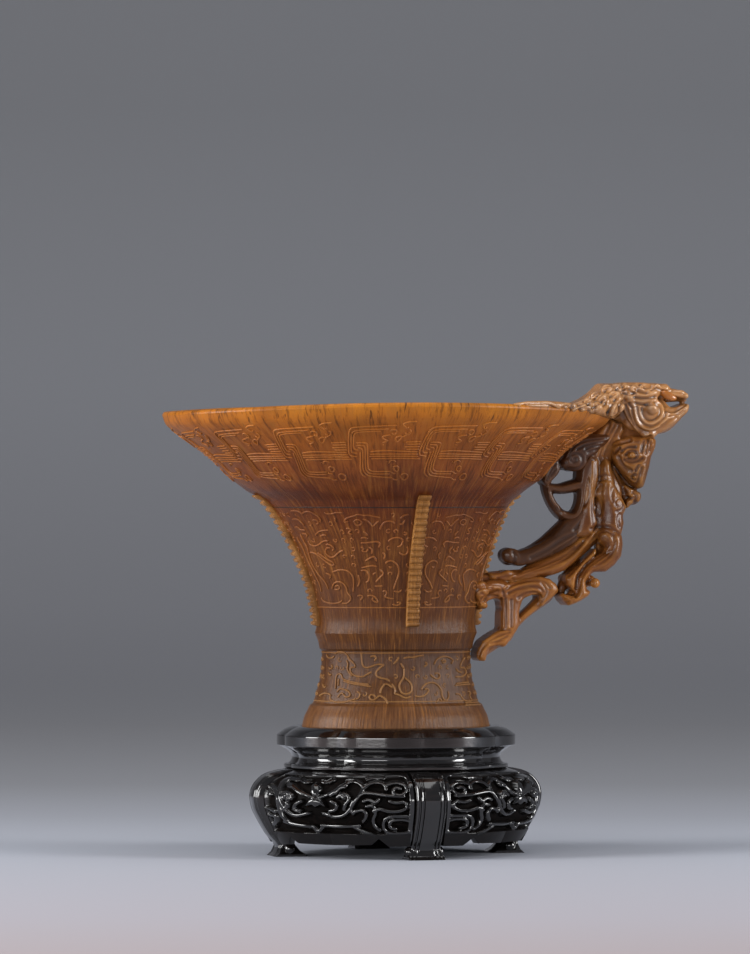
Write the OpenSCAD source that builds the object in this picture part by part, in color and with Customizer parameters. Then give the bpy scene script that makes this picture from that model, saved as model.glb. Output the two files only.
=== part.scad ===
// Horn libation cup with an openwork dragon handle, standing loose on a carved hardwood stand.
// Millimetres, +Z up. The floor is z = 0, the mouth is long along X, and the handle points along +X.

/* [Cup] */
// Height of the cup from its foot to the lip at the sides
cup_h = 104; // [88:1:120]
// Length of the oval mouth over its lips
mouth_l = 146.6; // [130:0.2:162]
// Width of the oval mouth over its lips
mouth_w = 105.6; // [92:0.2:118]
// How far the mouth's middle leans away from the handle
mouth_shift = 2.6; // [1:0.1:6]
// How much lower the lip lies at the ends of the mouth than at its sides
lip_wave = 2.6; // [0.5:0.1:5]
// Length of the oval foot
foot_l = 61.2; // [54:0.2:63]
// Width of the oval foot
foot_w = 45.4; // [40:0.2:50]
// Length of the stem at its narrowest
stem_l = 48.4; // [44:0.2:53]
// Width of the stem at its narrowest
stem_w = 33.9; // [30:0.2:38]
// Thickness of the horn at the lip
wall = 2.2; // [1.6:0.1:3]
// Depth of the bowl below the lip
bowl_depth = 68; // [56:1:72]
// Depth of the hollow under the foot
foot_hollow = 3; // [1:0.5:6]
// Width of the ring that the foot stands on
foot_ring = 5; // [3:0.5:8]

/* [Flanges] */
// Width of a notched flange across its face
flange_w = 4; // [3:0.5:6]
// How far a flange stands out of the cup's wall
flange_proud = 1.9; // [1.2:0.1:3]
// Height of one tooth and its notch
tooth_pitch = 2; // [1.6:0.1:3]
// Depth of the notch between two teeth
notch_depth = 0.9; // [0.4:0.1:1.1]
// How deep a flange is rooted in the cup's wall
flange_root = 1; // [0.6:0.1:1.5]

/* [Handle] */
// Length of the frame that the handle's lines are drawn in
handle_l = 84; // [70:1:96]
// Thickness of the handle across its plane
handle_t = 16; // [12:0.5:20]
// Height of the rim dragon's body above the lip
rider_h = 7; // [5:0.5:9]

/* [Stand] */
// Length of the stand over its bulging legs
stand_l = 95.8; // [90:0.2:106]
// Width of the stand over its bulging legs
stand_w = 83.4; // [79:0.2:92]
// Height of the legs up to the thin moulding
leg_h = 28.6; // [24:0.2:34]
// Thickness of the thin moulding on the legs
collar_t = 1.4; // [1:0.1:2.4]
// Height of the waist moulding, whose side curves inwards
waist_h = 5.6; // [4:0.1:8]
// Thickness of the top board
board_t = 6.3; // [5:0.1:9]
// Length of the lobed top board
board_l = 77.4; // [75:0.2:82]
// Width of the lobed top board
board_w = 68; // [65:0.2:73]
// Depth of the cup's seat in the board
seat_depth = 1.3; // [0.8:0.1:2.5]
// Clearance round the cup's foot in its seat
seat_clearance = 0.4; // [0.2:0.1:0.8]
// Clearance under the cup's foot, which horn on wood never quite closes
foot_clearance = 0.1; // [0.05:0.01:0.2]
// Width of a leg
leg_w = 10; // [8:0.5:13]
// Width of the raised band down the middle of a leg
leg_band_w = 4.6; // [3:0.2:6]
// How far that band stands proud
leg_band_proud = 0.7; // [0.4:0.1:1.2]
// Radius of the scrolls beside a foot
foot_scroll_r = 1.9; // [1.4:0.1:2.4]
// How far those scrolls stand out of the leg's sides
foot_scroll_w = 1.6; // [1:0.1:2.4]
// Thickness of a carved apron
apron_t = 3; // [2:0.2:4.4]
// Joiner's gap between an apron and what it meets
joint_gap = 0.1; // [0.05:0.01:0.2]
// Radial thickness of a leg's tenon
tenon_t = 2.6; // [2:0.1:3.4]
// Width of a leg's tenon
tenon_w = 6; // [4:0.2:7]
// Height of a leg's tenon
tenon_h = 4; // [3:0.2:5]
// Clearance of a tenon in its mortise
tenon_clearance = 0.1; // [0.05:0.01:0.2]

/* [Hidden] */

horn_brown = "#8a4a24";
horn_dark = "#5e3418";
horn_amber = "#c8803a";
blackwood = "#241a17";
blackwood_edge = "#2e2320";

// Heights of the stand's floors, each on the one below
collar_z = leg_h;
waist_z = collar_z + collar_t;
board_z = waist_z + waist_h;
stand_h = board_z + board_t;
cup_z = stand_h - seat_depth + foot_clearance;

// Height share of the stem's narrowest ring, and the cup's outline below and above it.
// A row is height share, then the share of the spread from the stem to the foot or to the mouth
// along the length and along the width, then the share of the mouth's lean.
stem_share = 0.226;
foot_shares = [
    [0, 0.97, 0.97], [0.012, 1, 1], [0.041, 0.88, 0.88], [0.065, 0.69, 0.69], [0.076, 0.61, 0.61],
    [0.084, 0.42, 0.42], [0.118, 0.27, 0.27], [0.173, 0.05, 0.05], [0.226, 0, 0]];
flare_shares = [
    [0.226, 0, 0, 0], [0.244, 0.004, 0.004, 0], [0.250, 0.014, 0.014, 0], [0.272, 0.02, 0.02, 0],
    [0.285, 0.038, 0.036, 0], [0.296, 0.042, 0.04, 0], [0.309, 0.038, 0.036, 0],
    [0.321, 0.034, 0.033, 0], [0.367, 0.045, 0.043, 0], [0.435, 0.077, 0.075, 0],
    [0.484, 0.1, 0.11, 0.3], [0.534, 0.14, 0.16, 0.45], [0.583, 0.183, 0.212, 0.6],
    [0.632, 0.236, 0.277, 0.8], [0.681, 0.295, 0.345, 1], [0.706, 0.34, 0.392, 1.08],
    [0.716, 0.372, 0.423, 1.12], [0.735, 0.43, 0.475, 1.3], [0.78, 0.544, 0.585, 1.25],
    [0.829, 0.633, 0.668, 1.4], [0.878, 0.743, 0.765, 1.6], [0.927, 0.88, 0.885, 1.5],
    [0.958, 0.965, 0.965, 1.25], [0.987, 1, 1, 1], [0.996, 0.997, 0.996, 1]];
// Bowl outline: depth share, then the share of the width that the wall leaves
bowl_shares = [
    [0.02, 1], [0.06, 0.985], [0.13, 0.965], [0.22, 0.945], [0.32, 0.925], [0.42, 0.92],
    [0.55, 0.89], [0.7, 0.825], [0.84, 0.71], [0.93, 0.53], [0.98, 0.34]];
cup_sides = 56;

// Flange ends, as height shares of the cup
flange_low_share = 0.318;
flange_high_share = 0.722;
// Outline of one tooth: share of the pitch, then how full it stands
tooth_shares = [[0.08, 0], [0.3, 1], [0.7, 1], [0.92, 0]];

// The handle's frame: how far along it, and how high in it, the stem and the lip stand
stem_mark_share = [0.076, 0.06];
lip_mark_share = [0.625, 0.893];
stem_mark_h_share = 0.207;
// Sides of a strap, and rings between two of its points
strap_sides = 8;
strap_steps = 3;

// Every strap row holds its place along and up the frame, its half width as a share of the frame's
// length, then its half depth and its sideways place as shares of the handle's thickness.
root_bar_shares = [
    [0.204, 0.302, 0.026, 0.28, 0], [0.224, 0.267, 0.036, 0.32, 0], [0.228, 0.223, 0.036, 0.31, 0],
    [0.226, 0.182, 0.036, 0.30, 0], [0.212, 0.150, 0.038, 0.29, 0], [0.176, 0.126, 0.030, 0.27, 0],
    [0.140, 0.103, 0.026, 0.25, 0], [0.108, 0.077, 0.022, 0.22, 0]];
root_lobe_shares = [
    [0.224, 0.300, 0.026, 0.26, 0.06], [0.168, 0.312, 0.025, 0.24, 0.20],
    [0.116, 0.306, 0.024, 0.22, 0.34], [0.086, 0.280, 0.022, 0.20, 0.42],
    [0.100, 0.254, 0.020, 0.18, 0.42], [0.118, 0.246, 0.012, 0.12, 0.40]];
root_arch_shares = [
    [0.224, 0.293, 0.030, 0.28, 0], [0.272, 0.308, 0.036, 0.30, 0], [0.324, 0.316, 0.038, 0.30, 0],
    [0.368, 0.307, 0.036, 0.29, 0], [0.384, 0.286, 0.032, 0.27, 0], [0.360, 0.262, 0.026, 0.25, 0],
    [0.324, 0.236, 0.020, 0.23, 0], [0.284, 0.207, 0.018, 0.23, 0], [0.246, 0.178, 0.022, 0.25, 0]];
root_web_shares = [
    [0.072, 0.334, 0.024, 0.24, 0], [0.160, 0.338, 0.028, 0.24, 0], [0.260, 0.342, 0.030, 0.24, 0],
    [0.330, 0.350, 0.024, 0.22, 0]];
tail_shares = [
    [0.240, 0.317, 0.026, 0.24, 0], [0.296, 0.343, 0.034, 0.30, 0], [0.352, 0.367, 0.040, 0.32, 0],
    [0.408, 0.387, 0.044, 0.33, 0], [0.460, 0.410, 0.044, 0.33, 0], [0.508, 0.443, 0.042, 0.32, 0],
    [0.552, 0.473, 0.038, 0.30, 0], [0.592, 0.497, 0.030, 0.26, 0]];
branch_shares = [
    [0.204, 0.413, 0.016, 0.12, 0.08], [0.222, 0.411, 0.034, 0.26, 0.08],
    [0.244, 0.410, 0.036, 0.28, 0.08], [0.268, 0.407, 0.028, 0.24, 0.08],
    [0.320, 0.413, 0.038, 0.30, 0.08], [0.380, 0.437, 0.046, 0.33, 0.06],
    [0.432, 0.467, 0.054, 0.35, 0.04], [0.480, 0.503, 0.056, 0.37, 0.02], [0.524, 0.543, 0.052, 0.37, 0],
    [0.556, 0.585, 0.042, 0.34, 0]];
haunch_shares = [
    [0.566, 0.497, 0.018, 0.20, 0], [0.600, 0.486, 0.034, 0.34, 0], [0.622, 0.452, 0.046, 0.42, 0],
    [0.620, 0.412, 0.042, 0.40, 0], [0.594, 0.384, 0.026, 0.32, 0], [0.566, 0.372, 0.012, 0.20, 0]];
thigh_shares = [
    [0.600, 0.416, 0.020, 0.24, -0.12], [0.552, 0.393, 0.021, 0.24, -0.12],
    [0.518, 0.362, 0.022, 0.24, -0.12], [0.502, 0.327, 0.025, 0.24, -0.12],
    [0.496, 0.293, 0.024, 0.24, -0.12], [0.474, 0.270, 0.020, 0.22, -0.12],
    [0.448, 0.258, 0.012, 0.16, -0.12]];
far_thigh_shares = [
    [0.560, 0.400, 0.018, 0.20, 0.14], [0.500, 0.372, 0.022, 0.22, 0.14],
    [0.464, 0.330, 0.022, 0.22, 0.14], [0.446, 0.293, 0.018, 0.20, 0.14],
    [0.438, 0.272, 0.010, 0.14, 0.14]];
knee_scroll_shares = [
    [0.520, 0.345, 0.010, 0.16, -0.1], [0.540, 0.336, 0.018, 0.24, -0.1],
    [0.560, 0.327, 0.024, 0.28, -0.1], [0.578, 0.326, 0.014, 0.16, -0.1]];
trunk_shares = [
    [0.590, 0.462, 0.030, 0.30, 0], [0.602, 0.492, 0.054, 0.42, 0], [0.614, 0.533, 0.064, 0.46, 0],
    [0.620, 0.577, 0.062, 0.48, 0], [0.604, 0.627, 0.052, 0.46, 0], [0.584, 0.680, 0.042, 0.44, 0],
    [0.572, 0.727, 0.038, 0.42, 0], [0.574, 0.780, 0.038, 0.42, 0], [0.604, 0.822, 0.040, 0.44, 0],
    [0.652, 0.856, 0.036, 0.42, 0]];
neck_shares = [
    [0.640, 0.585, 0.024, 0.50, 0], [0.660, 0.622, 0.030, 0.50, 0], [0.640, 0.672, 0.026, 0.48, 0],
    [0.620, 0.722, 0.026, 0.46, 0], [0.628, 0.772, 0.036, 0.46, 0], [0.660, 0.812, 0.044, 0.46, 0]];
ring_shares = [
    [0.374, 0.664, 0.016, 0.20, 0], [0.386, 0.622, 0.018, 0.22, 0], [0.410, 0.580, 0.019, 0.24, 0],
    [0.448, 0.548, 0.022, 0.26, 0], [0.494, 0.548, 0.022, 0.28, 0], [0.516, 0.596, 0.018, 0.28, 0],
    [0.520, 0.650, 0.024, 0.30, 0], [0.530, 0.700, 0.034, 0.32, 0], [0.556, 0.740, 0.030, 0.30, 0]];
bar_shares = [
    [0.380, 0.644, 0.018, 0.22, 0], [0.430, 0.637, 0.022, 0.26, 0], [0.480, 0.645, 0.026, 0.28, 0],
    [0.530, 0.655, 0.028, 0.30, 0]];
leaf_shares = [
    [0.620, 0.790, 0.034, 0.36, 0], [0.572, 0.792, 0.034, 0.34, 0], [0.528, 0.782, 0.036, 0.34, 0],
    [0.496, 0.758, 0.050, 0.36, 0], [0.486, 0.728, 0.046, 0.34, 0], [0.496, 0.704, 0.020, 0.22, 0]];
lobe_shares = [
    [0.494, 0.806, 0.014, 0.20, 0], [0.458, 0.778, 0.022, 0.28, 0], [0.416, 0.738, 0.028, 0.30, 0],
    [0.392, 0.695, 0.028, 0.28, 0], [0.380, 0.650, 0.018, 0.22, 0]];
lower_head_shares = [
    [0.724, 0.850, 0.060, 0.36, 0], [0.728, 0.822, 0.080, 0.44, 0], [0.728, 0.790, 0.086, 0.48, 0],
    [0.722, 0.752, 0.076, 0.46, 0], [0.720, 0.715, 0.058, 0.40, 0], [0.728, 0.680, 0.042, 0.34, 0],
    [0.740, 0.653, 0.028, 0.28, 0], [0.746, 0.638, 0.014, 0.18, 0]];
lower_jaw_shares = [
    [0.672, 0.748, 0.024, 0.30, 0], [0.652, 0.704, 0.018, 0.28, 0], [0.672, 0.655, 0.022, 0.27, 0],
    [0.700, 0.618, 0.030, 0.28, 0], [0.730, 0.604, 0.028, 0.26, 0], [0.754, 0.606, 0.016, 0.18, 0]];
head_shares = [
    [0.610, 0.945, 0.048, 0.42, 0], [0.650, 0.944, 0.062, 0.47, 0], [0.690, 0.940, 0.068, 0.49, 0],
    [0.736, 0.940, 0.069, 0.50, 0], [0.784, 0.948, 0.060, 0.48, 0], [0.830, 0.958, 0.044, 0.42, 0],
    [0.880, 0.952, 0.028, 0.35, 0], [0.920, 0.948, 0.021, 0.29, 0], [0.944, 0.936, 0.011, 0.18, 0]];
jaw_shares = [
    [0.740, 0.886, 0.064, 0.42, 0], [0.800, 0.868, 0.056, 0.40, 0], [0.850, 0.863, 0.047, 0.37, 0],
    [0.890, 0.882, 0.036, 0.33, 0], [0.920, 0.900, 0.027, 0.28, 0], [0.940, 0.912, 0.016, 0.20, 0]];
mane_shares = [
    [0.660, 0.900, 0.036, 0.40, 0], [0.700, 0.872, 0.044, 0.42, 0], [0.745, 0.838, 0.036, 0.38, 0],
    [0.790, 0.816, 0.020, 0.28, 0], [0.812, 0.812, 0.008, 0.16, 0]];
// The ring whisker on each cheek: its middle, its radii and its strap, as shares like a row's
whisker_turn = 350;
whisker_steps = 14;
whisker_shares = [0.800, 0.893];
whisker_r_share = [0.060, 0.050];
whisker_w_share = 0.010;
whisker_d_share = 0.10;
whisker_y_share = 0.40;

// The rim dragon's tail and body lie along the lip. A row is the turn round the mouth as a share of
// a quarter, then rise above the lip, half width and half height as shares of its own height.
rider_shares = [
    [-0.76, -0.06, 0.12, 0.10], [-0.72, 0, 0.24, 0.14], [-0.66, 0.04, 0.32, 0.18],
    [-0.60, 0.04, 0.34, 0.20], [-0.54, 0.02, 0.32, 0.20], [-0.49, -0.02, 0.30, 0.22],
    [-0.43, 0, 0.36, 0.26], [-0.36, 0.04, 0.42, 0.34], [-0.28, 0.14, 0.52, 0.50],
    [-0.19, 0.30, 0.66, 0.68], [-0.10, 0.46, 0.78, 0.82], [0, 0.56, 0.82, 0.88], [0.05, 0.56, 0.60, 0.66]];

// The lobed outline of the stand has a cusp at each leg and in the middle of each side
lobe_depth_share = 0.045;
lobe_round_share = 0.8;
stand_sides = 64;
// Outlines of the three mouldings: height share, then the share of the board's half length
board_shares = [[0, 0.975], [0.05, 1], [0.56, 1], [0.63, 0.985], [0.86, 0.93], [1, 0.875]];
waist_shares = [
    [0, 0.905], [0.14, 0.885], [0.36, 0.872], [0.62, 0.886], [0.84, 0.93], [1, 0.968]];
collar_shares = [[0, 0.925], [0.25, 0.94], [0.75, 0.94], [1, 0.925]];

// A leg's side outline: height share of the leg, then reach share of the stand's half size
leg_out_shares = [
    [1, 0.735], [0.985, 0.80], [0.958, 0.87], [0.918, 0.92], [0.867, 0.955], [0.81, 0.98],
    [0.755, 0.994], [0.689, 1], [0.58, 0.99], [0.43, 0.948], [0.273, 0.891], [0.133, 0.829],
    [0.07, 0.84], [0.03, 0.866], [0, 0.856]];
leg_in_shares = [
    [0, 0.647], [0.04, 0.645], [0.09, 0.69], [0.157, 0.722], [0.28, 0.764], [0.455, 0.812],
    [0.63, 0.845], [0.77, 0.83], [0.87, 0.76], [0.92, 0.69], [0.95, 0.63], [1, 0.61]];
// The raised band runs down the leg's face between these height shares
leg_band_low_share = 0.133;
tenon_in_share = 0.617;
// Reach share of the scrolls beside a foot, which stand just under the aprons' lower edge
foot_scroll_reach_share = 0.765;

// An apron's face: height share of the leg, then reach share of the stand's half size
apron_out_shares = [
    [0.1, 0.845], [0.19, 0.872], [0.273, 0.90], [0.43, 0.945], [0.58, 0.978], [0.69, 0.985],
    [0.755, 0.975], [0.867, 0.935], [0.94, 0.86], [1, 0.765]];
// An apron's lower edge and the top of its plain band: way along it, height share of the leg
apron_edge_shares = [[0, 0.18], [0.13, 0.18], [0.19, 0.27], [0.24, 0.2], [0.5, 0.19]];
apron_band_share = 0.37;
apron_rail_share = 0.93;
apron_columns = 16;
apron_band_steps = 2;
// The ground behind the scrollwork: its height shares, how far out its back and face stand as shares of
// the apron's thickness, the share of the apron's length it stops short at each end, and its steps
apron_ground_height_shares = [0.32, 0.97];
apron_ground_depth_shares = [-0.57, -0.08];
apron_ground_end_share = 0.012;
apron_ground_steps = 3;
apron_strap_sides = 6;
apron_strap_steps = 2;
// Straps of the scrollwork on one half of an apron: way along it, height share of the leg,
// half width as a share of the leg's height, half depth as a share of the apron's thickness
vine_shares = [
    [0.5, 0.34, 0.04, 0.42], [0.485, 0.43, 0.035, 0.42], [0.44, 0.45, 0.035, 0.42],
    [0.37, 0.50, 0.032, 0.40], [0.30, 0.62, 0.03, 0.40], [0.27, 0.78, 0.03, 0.40],
    [0.32, 0.91, 0.032, 0.40], [0.39, 0.85, 0.028, 0.38], [0.39, 0.72, 0.024, 0.34]];
curl_shares = [
    [0.30, 0.62, 0.03, 0.38], [0.24, 0.55, 0.03, 0.38], [0.18, 0.58, 0.03, 0.38],
    [0.15, 0.68, 0.028, 0.38], [0.18, 0.78, 0.028, 0.36], [0.22, 0.72, 0.022, 0.32]];
fret_shares = [
    [0.27, 0.38, 0.028, 0.40], [0.22, 0.47, 0.028, 0.38], [0.13, 0.48, 0.028, 0.38],
    [0.05, 0.50, 0.03, 0.40]];
stile_shares = [[0.02, 0.30, 0.05, 0.46], [0.02, 0.62, 0.05, 0.46], [0.02, 0.93, 0.05, 0.46]];
// The flower in the middle of an apron
flower_share = [0.5, 0.66];
petal_count = 6;
petal_facets = 6;
petal_root_share = 0.25;
petal_reach_shares = [0.06, 0.2];
petal_round_share = 0.055;
petal_depth_share = 0.44;

function unit(v) = v / norm(v);
function between(a, b, t) = a + (b - a) * t;
function curve_at(a, b, c, d, t) =
    (2 * b + (c - a) * t + (2 * a - 5 * b + 4 * c - d) * t * t
    + (3 * b - 3 * c + d - a) * t * t * t) / 2;
// A smooth curve through rows of any width, with some rows added between each two
function smooth(rows, steps) = let (last = len(rows) - 1) [
    for (i = [0:last - 1], k = [0:steps - 1])
        curve_at(rows[max(i - 1, 0)], rows[i], rows[i + 1], rows[min(i + 2, last)], k / steps),
    rows[last]];
function column(rows, s, c) = lookup(s, [for (r = rows) [r[0], r[c]]]);

// A closed skin over rings of points that turn the same way, with a tip at each end
module skin(rings, first_tip, last_tip) {
    n = len(rings[0]);
    m = len(rings);
    points = [for (r = rings, p = r) p, first_tip, last_tip];
    polyhedron(points, [
        for (i = [0:m - 2], j = [0:n - 1]) [i * n + j, (i + 1) * n + j, (i + 1) * n + (j + 1) % n],
        for (i = [0:m - 2], j = [0:n - 1]) [i * n + j, (i + 1) * n + (j + 1) % n, i * n + (j + 1) % n],
        for (j = [0:n - 1]) [m * n, j, (j + 1) % n],
        for (j = [0:n - 1]) [m * n + 1, (m - 1) * n + (j + 1) % n, (m - 1) * n + j]]);
}

// A strap of oval section along points, with its half widths, half depths and depth directions
module strap(points, widths, depths, depth_ways, sides = strap_sides) {
    last = len(points) - 1;
    ways = [for (i = [0:last]) unit(points[min(i + 1, last)] - points[max(i - 1, 0)])];
    rings = [for (i = [0:last])
        let (across = unit(depth_ways[i] - ways[i] * (depth_ways[i] * ways[i])))
        let (side = cross(across, ways[i]))
        [for (j = [0:sides - 1]) let (a = 360 * (j + 0.5) / sides)
            points[i] + side * (widths[i] * cos(a)) + across * (depths[i] * sin(a))]];
    skin(rings,
        points[0] - ways[0] * (widths[0] / 2),
        points[last] + ways[last] * (widths[last] / 2));
}

// Cup: half sizes of its outside and the middle of its rings at a height share
function spread(s, c) = s < stem_share ? column(foot_shares, s, c) : column(flare_shares, s, c);
function cup_half_l(s) = stem_l / 2 + spread(s, 1) * ((s < stem_share ? foot_l : mouth_l) - stem_l) / 2;
function cup_half_w(s) = stem_w / 2 + spread(s, 2) * ((s < stem_share ? foot_w : mouth_w) - stem_w) / 2;
function cup_mid_x(s) = -mouth_shift * column(flare_shares, max(s, stem_share), 3);
function lip_fall(s, a) = lip_wave * pow(cos(a), 2) * max(s - flange_high_share, 0) / (1 - flange_high_share);
function cup_point(s, a, inset) = [
    cup_mid_x(s) + (cup_half_l(s) - inset) * cos(a),
    (cup_half_w(s) - inset) * sin(a),
    cup_z + s * cup_h - lip_fall(s, a)];
function bowl_point(row, a) =
    let (s = 1 - row[0] * bowl_depth / cup_h)
    [cup_mid_x(s) * row[1] + (cup_half_l(s) - wall) * row[1] * cos(a),
    (cup_half_w(s) - wall) * row[1] * sin(a),
    cup_z + s * cup_h - lip_fall(s, a)];

module cup_body() {
    angles = [for (j = [0:cup_sides - 1]) 360 * j / cup_sides];
    rows = concat([for (r = foot_shares) r[0]], [for (i = [1:len(flare_shares) - 1]) flare_shares[i][0]]);
    hollow_l = foot_l / 2 - foot_ring;
    hollow_w = foot_w / 2 - foot_ring;
    color(horn_brown) skin(concat(
        [[for (a = angles) [hollow_l * cos(a), hollow_w * sin(a), cup_z + foot_hollow]]],
        [[for (a = angles) [hollow_l * cos(a), hollow_w * sin(a), cup_z]]],
        [for (s = rows) [for (a = angles) cup_point(s, a, 0)]],
        [[for (a = angles) cup_point(1, a, wall / 2)]],
        [for (r = bowl_shares) [for (a = angles) bowl_point(r, a)]]),
        [0, 0, cup_z + foot_hollow],
        [0, 0, cup_z + cup_h - bowl_depth]);
}

// A flange's side outline over the cup's half sizes, as points of reach and height
function flange_reach(s, lengthways) = lengthways ? cup_half_l(s) : cup_half_w(s);
module flange(turn, lengthways, mid_sign) {
    low = flange_low_share * cup_h;
    high = flange_high_share * cup_h;
    teeth = round((high - low) / tooth_pitch);
    step = (high - low) / teeth;
    lean = function(h) lengthways ? mid_sign * cup_mid_x(h / cup_h) : 0;
    face = function(h, proud) [lean(h) + flange_reach(h / cup_h, lengthways) + proud, h];
    outline = concat(
        [for (i = [0:teeth - 1], r = tooth_shares)
            face(low + step * (i + r[0]), flange_proud - notch_depth * (1 - r[1]))],
        [for (i = [teeth:-2:0]) face(low + step * i, -flange_root)],
        teeth % 2 == 0 ? [] : [face(low, -flange_root)]);
    color(horn_dark) translate([0, 0, cup_z]) rotate([0, 0, turn]) rotate([90, 0, 0])
        linear_extrude(flange_w, center = true) polygon(outline);
}
module flange_right() { flange(0, true, 1); }
module flange_back() { flange(90, false, 0); }
module flange_left() { flange(180, true, -1); }
module flange_front() { flange(270, false, 0); }

// The handle's frame follows the stem and the lip, so that it stays on a cup of another shape
stem_mark = [cup_half_l(stem_mark_h_share), cup_z + stem_mark_h_share * cup_h];
lip_mark = [mouth_l / 2 - mouth_shift, cup_z + cup_h - lip_wave];
function handle_point(row) =
    let (k = (row[1] - stem_mark_share[1]) / (lip_mark_share[1] - stem_mark_share[1]))
    [between(stem_mark[0], lip_mark[0], k)
        + (row[0] - between(stem_mark_share[0], lip_mark_share[0], k)) * handle_l,
    row[4] * handle_t,
    between(stem_mark[1], lip_mark[1], k)];
module handle_strap(rows) {
    fine = smooth(rows, strap_steps);
    strap([for (r = fine) handle_point(r)],
        [for (r = fine) r[2] * handle_l],
        [for (r = fine) r[3] * handle_t],
        [for (r = fine) [0, 1, 0]]);
}

module handle_root() {
    color(horn_brown) {
        handle_strap(root_bar_shares);
        handle_strap(root_arch_shares);
        handle_strap(root_web_shares);
        for (way = [-1, 1])
            handle_strap([for (r = root_lobe_shares) [r[0], r[1], r[2], r[3], way * r[4]]]);
    }
}
module handle_tail() { color(horn_amber) handle_strap(tail_shares); }
module handle_branch() { color(horn_dark) handle_strap(branch_shares); }
module handle_haunch() {
    color(horn_brown) {
        handle_strap(haunch_shares);
        handle_strap(thigh_shares);
        handle_strap(far_thigh_shares);
        handle_strap(knee_scroll_shares);
    }
}
module handle_trunk() {
    color(horn_dark) {
        handle_strap(trunk_shares);
        handle_strap(neck_shares);
    }
}
module handle_ring() {
    color(horn_dark) {
        handle_strap(ring_shares);
        handle_strap(bar_shares);
    }
}
module handle_leaf() {
    color(horn_dark) {
        handle_strap(leaf_shares);
        handle_strap(lobe_shares);
    }
}
module lower_dragon_head() {
    color(horn_brown) {
        handle_strap(lower_head_shares);
        handle_strap(lower_jaw_shares);
    }
}
module rim_dragon_head() {
    color(horn_amber) {
        handle_strap(head_shares);
        handle_strap(jaw_shares);
        handle_strap(mane_shares);
        for (way = [-1, 1]) {
            loop = [for (i = [0:whisker_steps]) let (a = whisker_turn * i / whisker_steps) [
                whisker_shares[0] + whisker_r_share[0] * cos(a),
                whisker_shares[1] + whisker_r_share[1] * sin(a),
                0, 0, way * whisker_y_share]];
            strap([for (r = loop) handle_point(r)],
                [for (r = loop) whisker_w_share * handle_l],
                [for (r = loop) whisker_d_share * handle_t],
                [for (r = loop) [0, 1, 0]]);
        }
    }
}
module rim_dragon_body() {
    fine = smooth(rider_shares, strap_steps);
    color(horn_amber) strap(
        [for (r = fine) cup_point(1, 90 * r[0], wall / 2) + [0, 0, r[1] * rider_h]],
        [for (r = fine) r[3] * rider_h],
        [for (r = fine) r[2] * rider_h],
        [for (r = fine) [cos(90 * r[0]), sin(90 * r[0]), 0]]);
}

// The stand's axis stands so far along X that the whole object's middle is at X = 0
head_last = len(head_shares) - 1;
head_tip = handle_point(head_shares[head_last])[0] + head_shares[head_last][2] * handle_l / 2;
axis_x = (mouth_l / 2 + mouth_shift - head_tip) / 2;
module placed() { translate([axis_x, 0, 0]) children(); }

// Stand: a lobed ring, as a share of half sizes
function lobes(a) = 1 - lobe_depth_share * (1 - pow(abs(sin(4 * a)), lobe_round_share));
function lobed_ring(share, z) = [for (j = [0:stand_sides - 1]) let (a = 360 * j / stand_sides)
    [board_l / 2 * share * lobes(a) * cos(a), board_w / 2 * share * lobes(a) * sin(a), z]];
function oval_ring(half_l, half_w, z) = [for (j = [0:stand_sides - 1]) let (a = 360 * j / stand_sides)
    [half_l * cos(a), half_w * sin(a), z]];

module stand_board() {
    seat_l = foot_l / 2 + seat_clearance;
    seat_w = foot_w / 2 + seat_clearance;
    seat_z = stand_h - seat_depth;
    color(blackwood) skin(concat(
        [for (r = board_shares) lobed_ring(r[1], board_z + r[0] * board_t)],
        [oval_ring(seat_l, seat_w, stand_h), oval_ring(seat_l, seat_w, seat_z)]),
        [0, 0, board_z],
        [0, 0, seat_z]);
}
module tenon(half, clearance) {
    inner = tenon_in_share * half;
    translate([inner - clearance, -tenon_w / 2 - clearance, leg_h - joint_gap])
        cube([tenon_t + 2 * clearance, tenon_w + 2 * clearance, tenon_h + joint_gap + clearance]);
}
// The places of all four tenons, which the moulding and the waist are cut for
module mortises() {
    for (i = [0:3])
        rotate([0, 0, 90 * i]) tenon((i % 2 == 0 ? stand_l : stand_w) / 2, tenon_clearance);
}
module stand_waist() {
    color(blackwood) difference() {
        skin([for (r = waist_shares) lobed_ring(r[1], waist_z + r[0] * waist_h)],
            [0, 0, waist_z], [0, 0, board_z]);
        mortises();
    }
}
module stand_collar() {
    color(blackwood_edge) difference() {
        skin([for (r = collar_shares) lobed_ring(r[1], collar_z + r[0] * collar_t)],
            [0, 0, collar_z], [0, 0, waist_z]);
        mortises();
    }
}

// A leg stands in the plane of its own reach, with its face outwards
module leg(half) {
    outer = [for (r = leg_out_shares) [r[1] * half, r[0] * leg_h]];
    inner = [for (r = leg_in_shares) [r[1] * half, r[0] * leg_h]];
    band = [for (p = outer) if (p[1] > leg_band_low_share * leg_h - leg_band_proud) p];
    scroll_z = apron_edge_shares[0][1] * leg_h - 2 * joint_gap - foot_scroll_r;
    color(blackwood) {
        rotate([90, 0, 0]) {
            linear_extrude(leg_w, center = true) polygon(concat(outer, inner));
            linear_extrude(leg_band_w, center = true) polygon(concat(
                [for (p = band) p + [p[1] > collar_z - leg_band_proud ? 0 : leg_band_proud, 0]],
                [for (i = [len(band) - 1:-1:0]) band[i] - [leg_band_proud, 0]]));
            translate([foot_scroll_reach_share * half, scroll_z])
                cylinder(h = leg_w + 2 * foot_scroll_w, r = foot_scroll_r, center = true);
        }
        tenon(half, 0);
    }
}
module leg_right() { leg(stand_l / 2); }
module leg_back() { rotate([0, 0, 90]) leg(stand_w / 2); }
module leg_left() { rotate([0, 0, 180]) leg(stand_l / 2); }
module leg_front() { rotate([0, 0, 270]) leg(stand_w / 2); }

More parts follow.
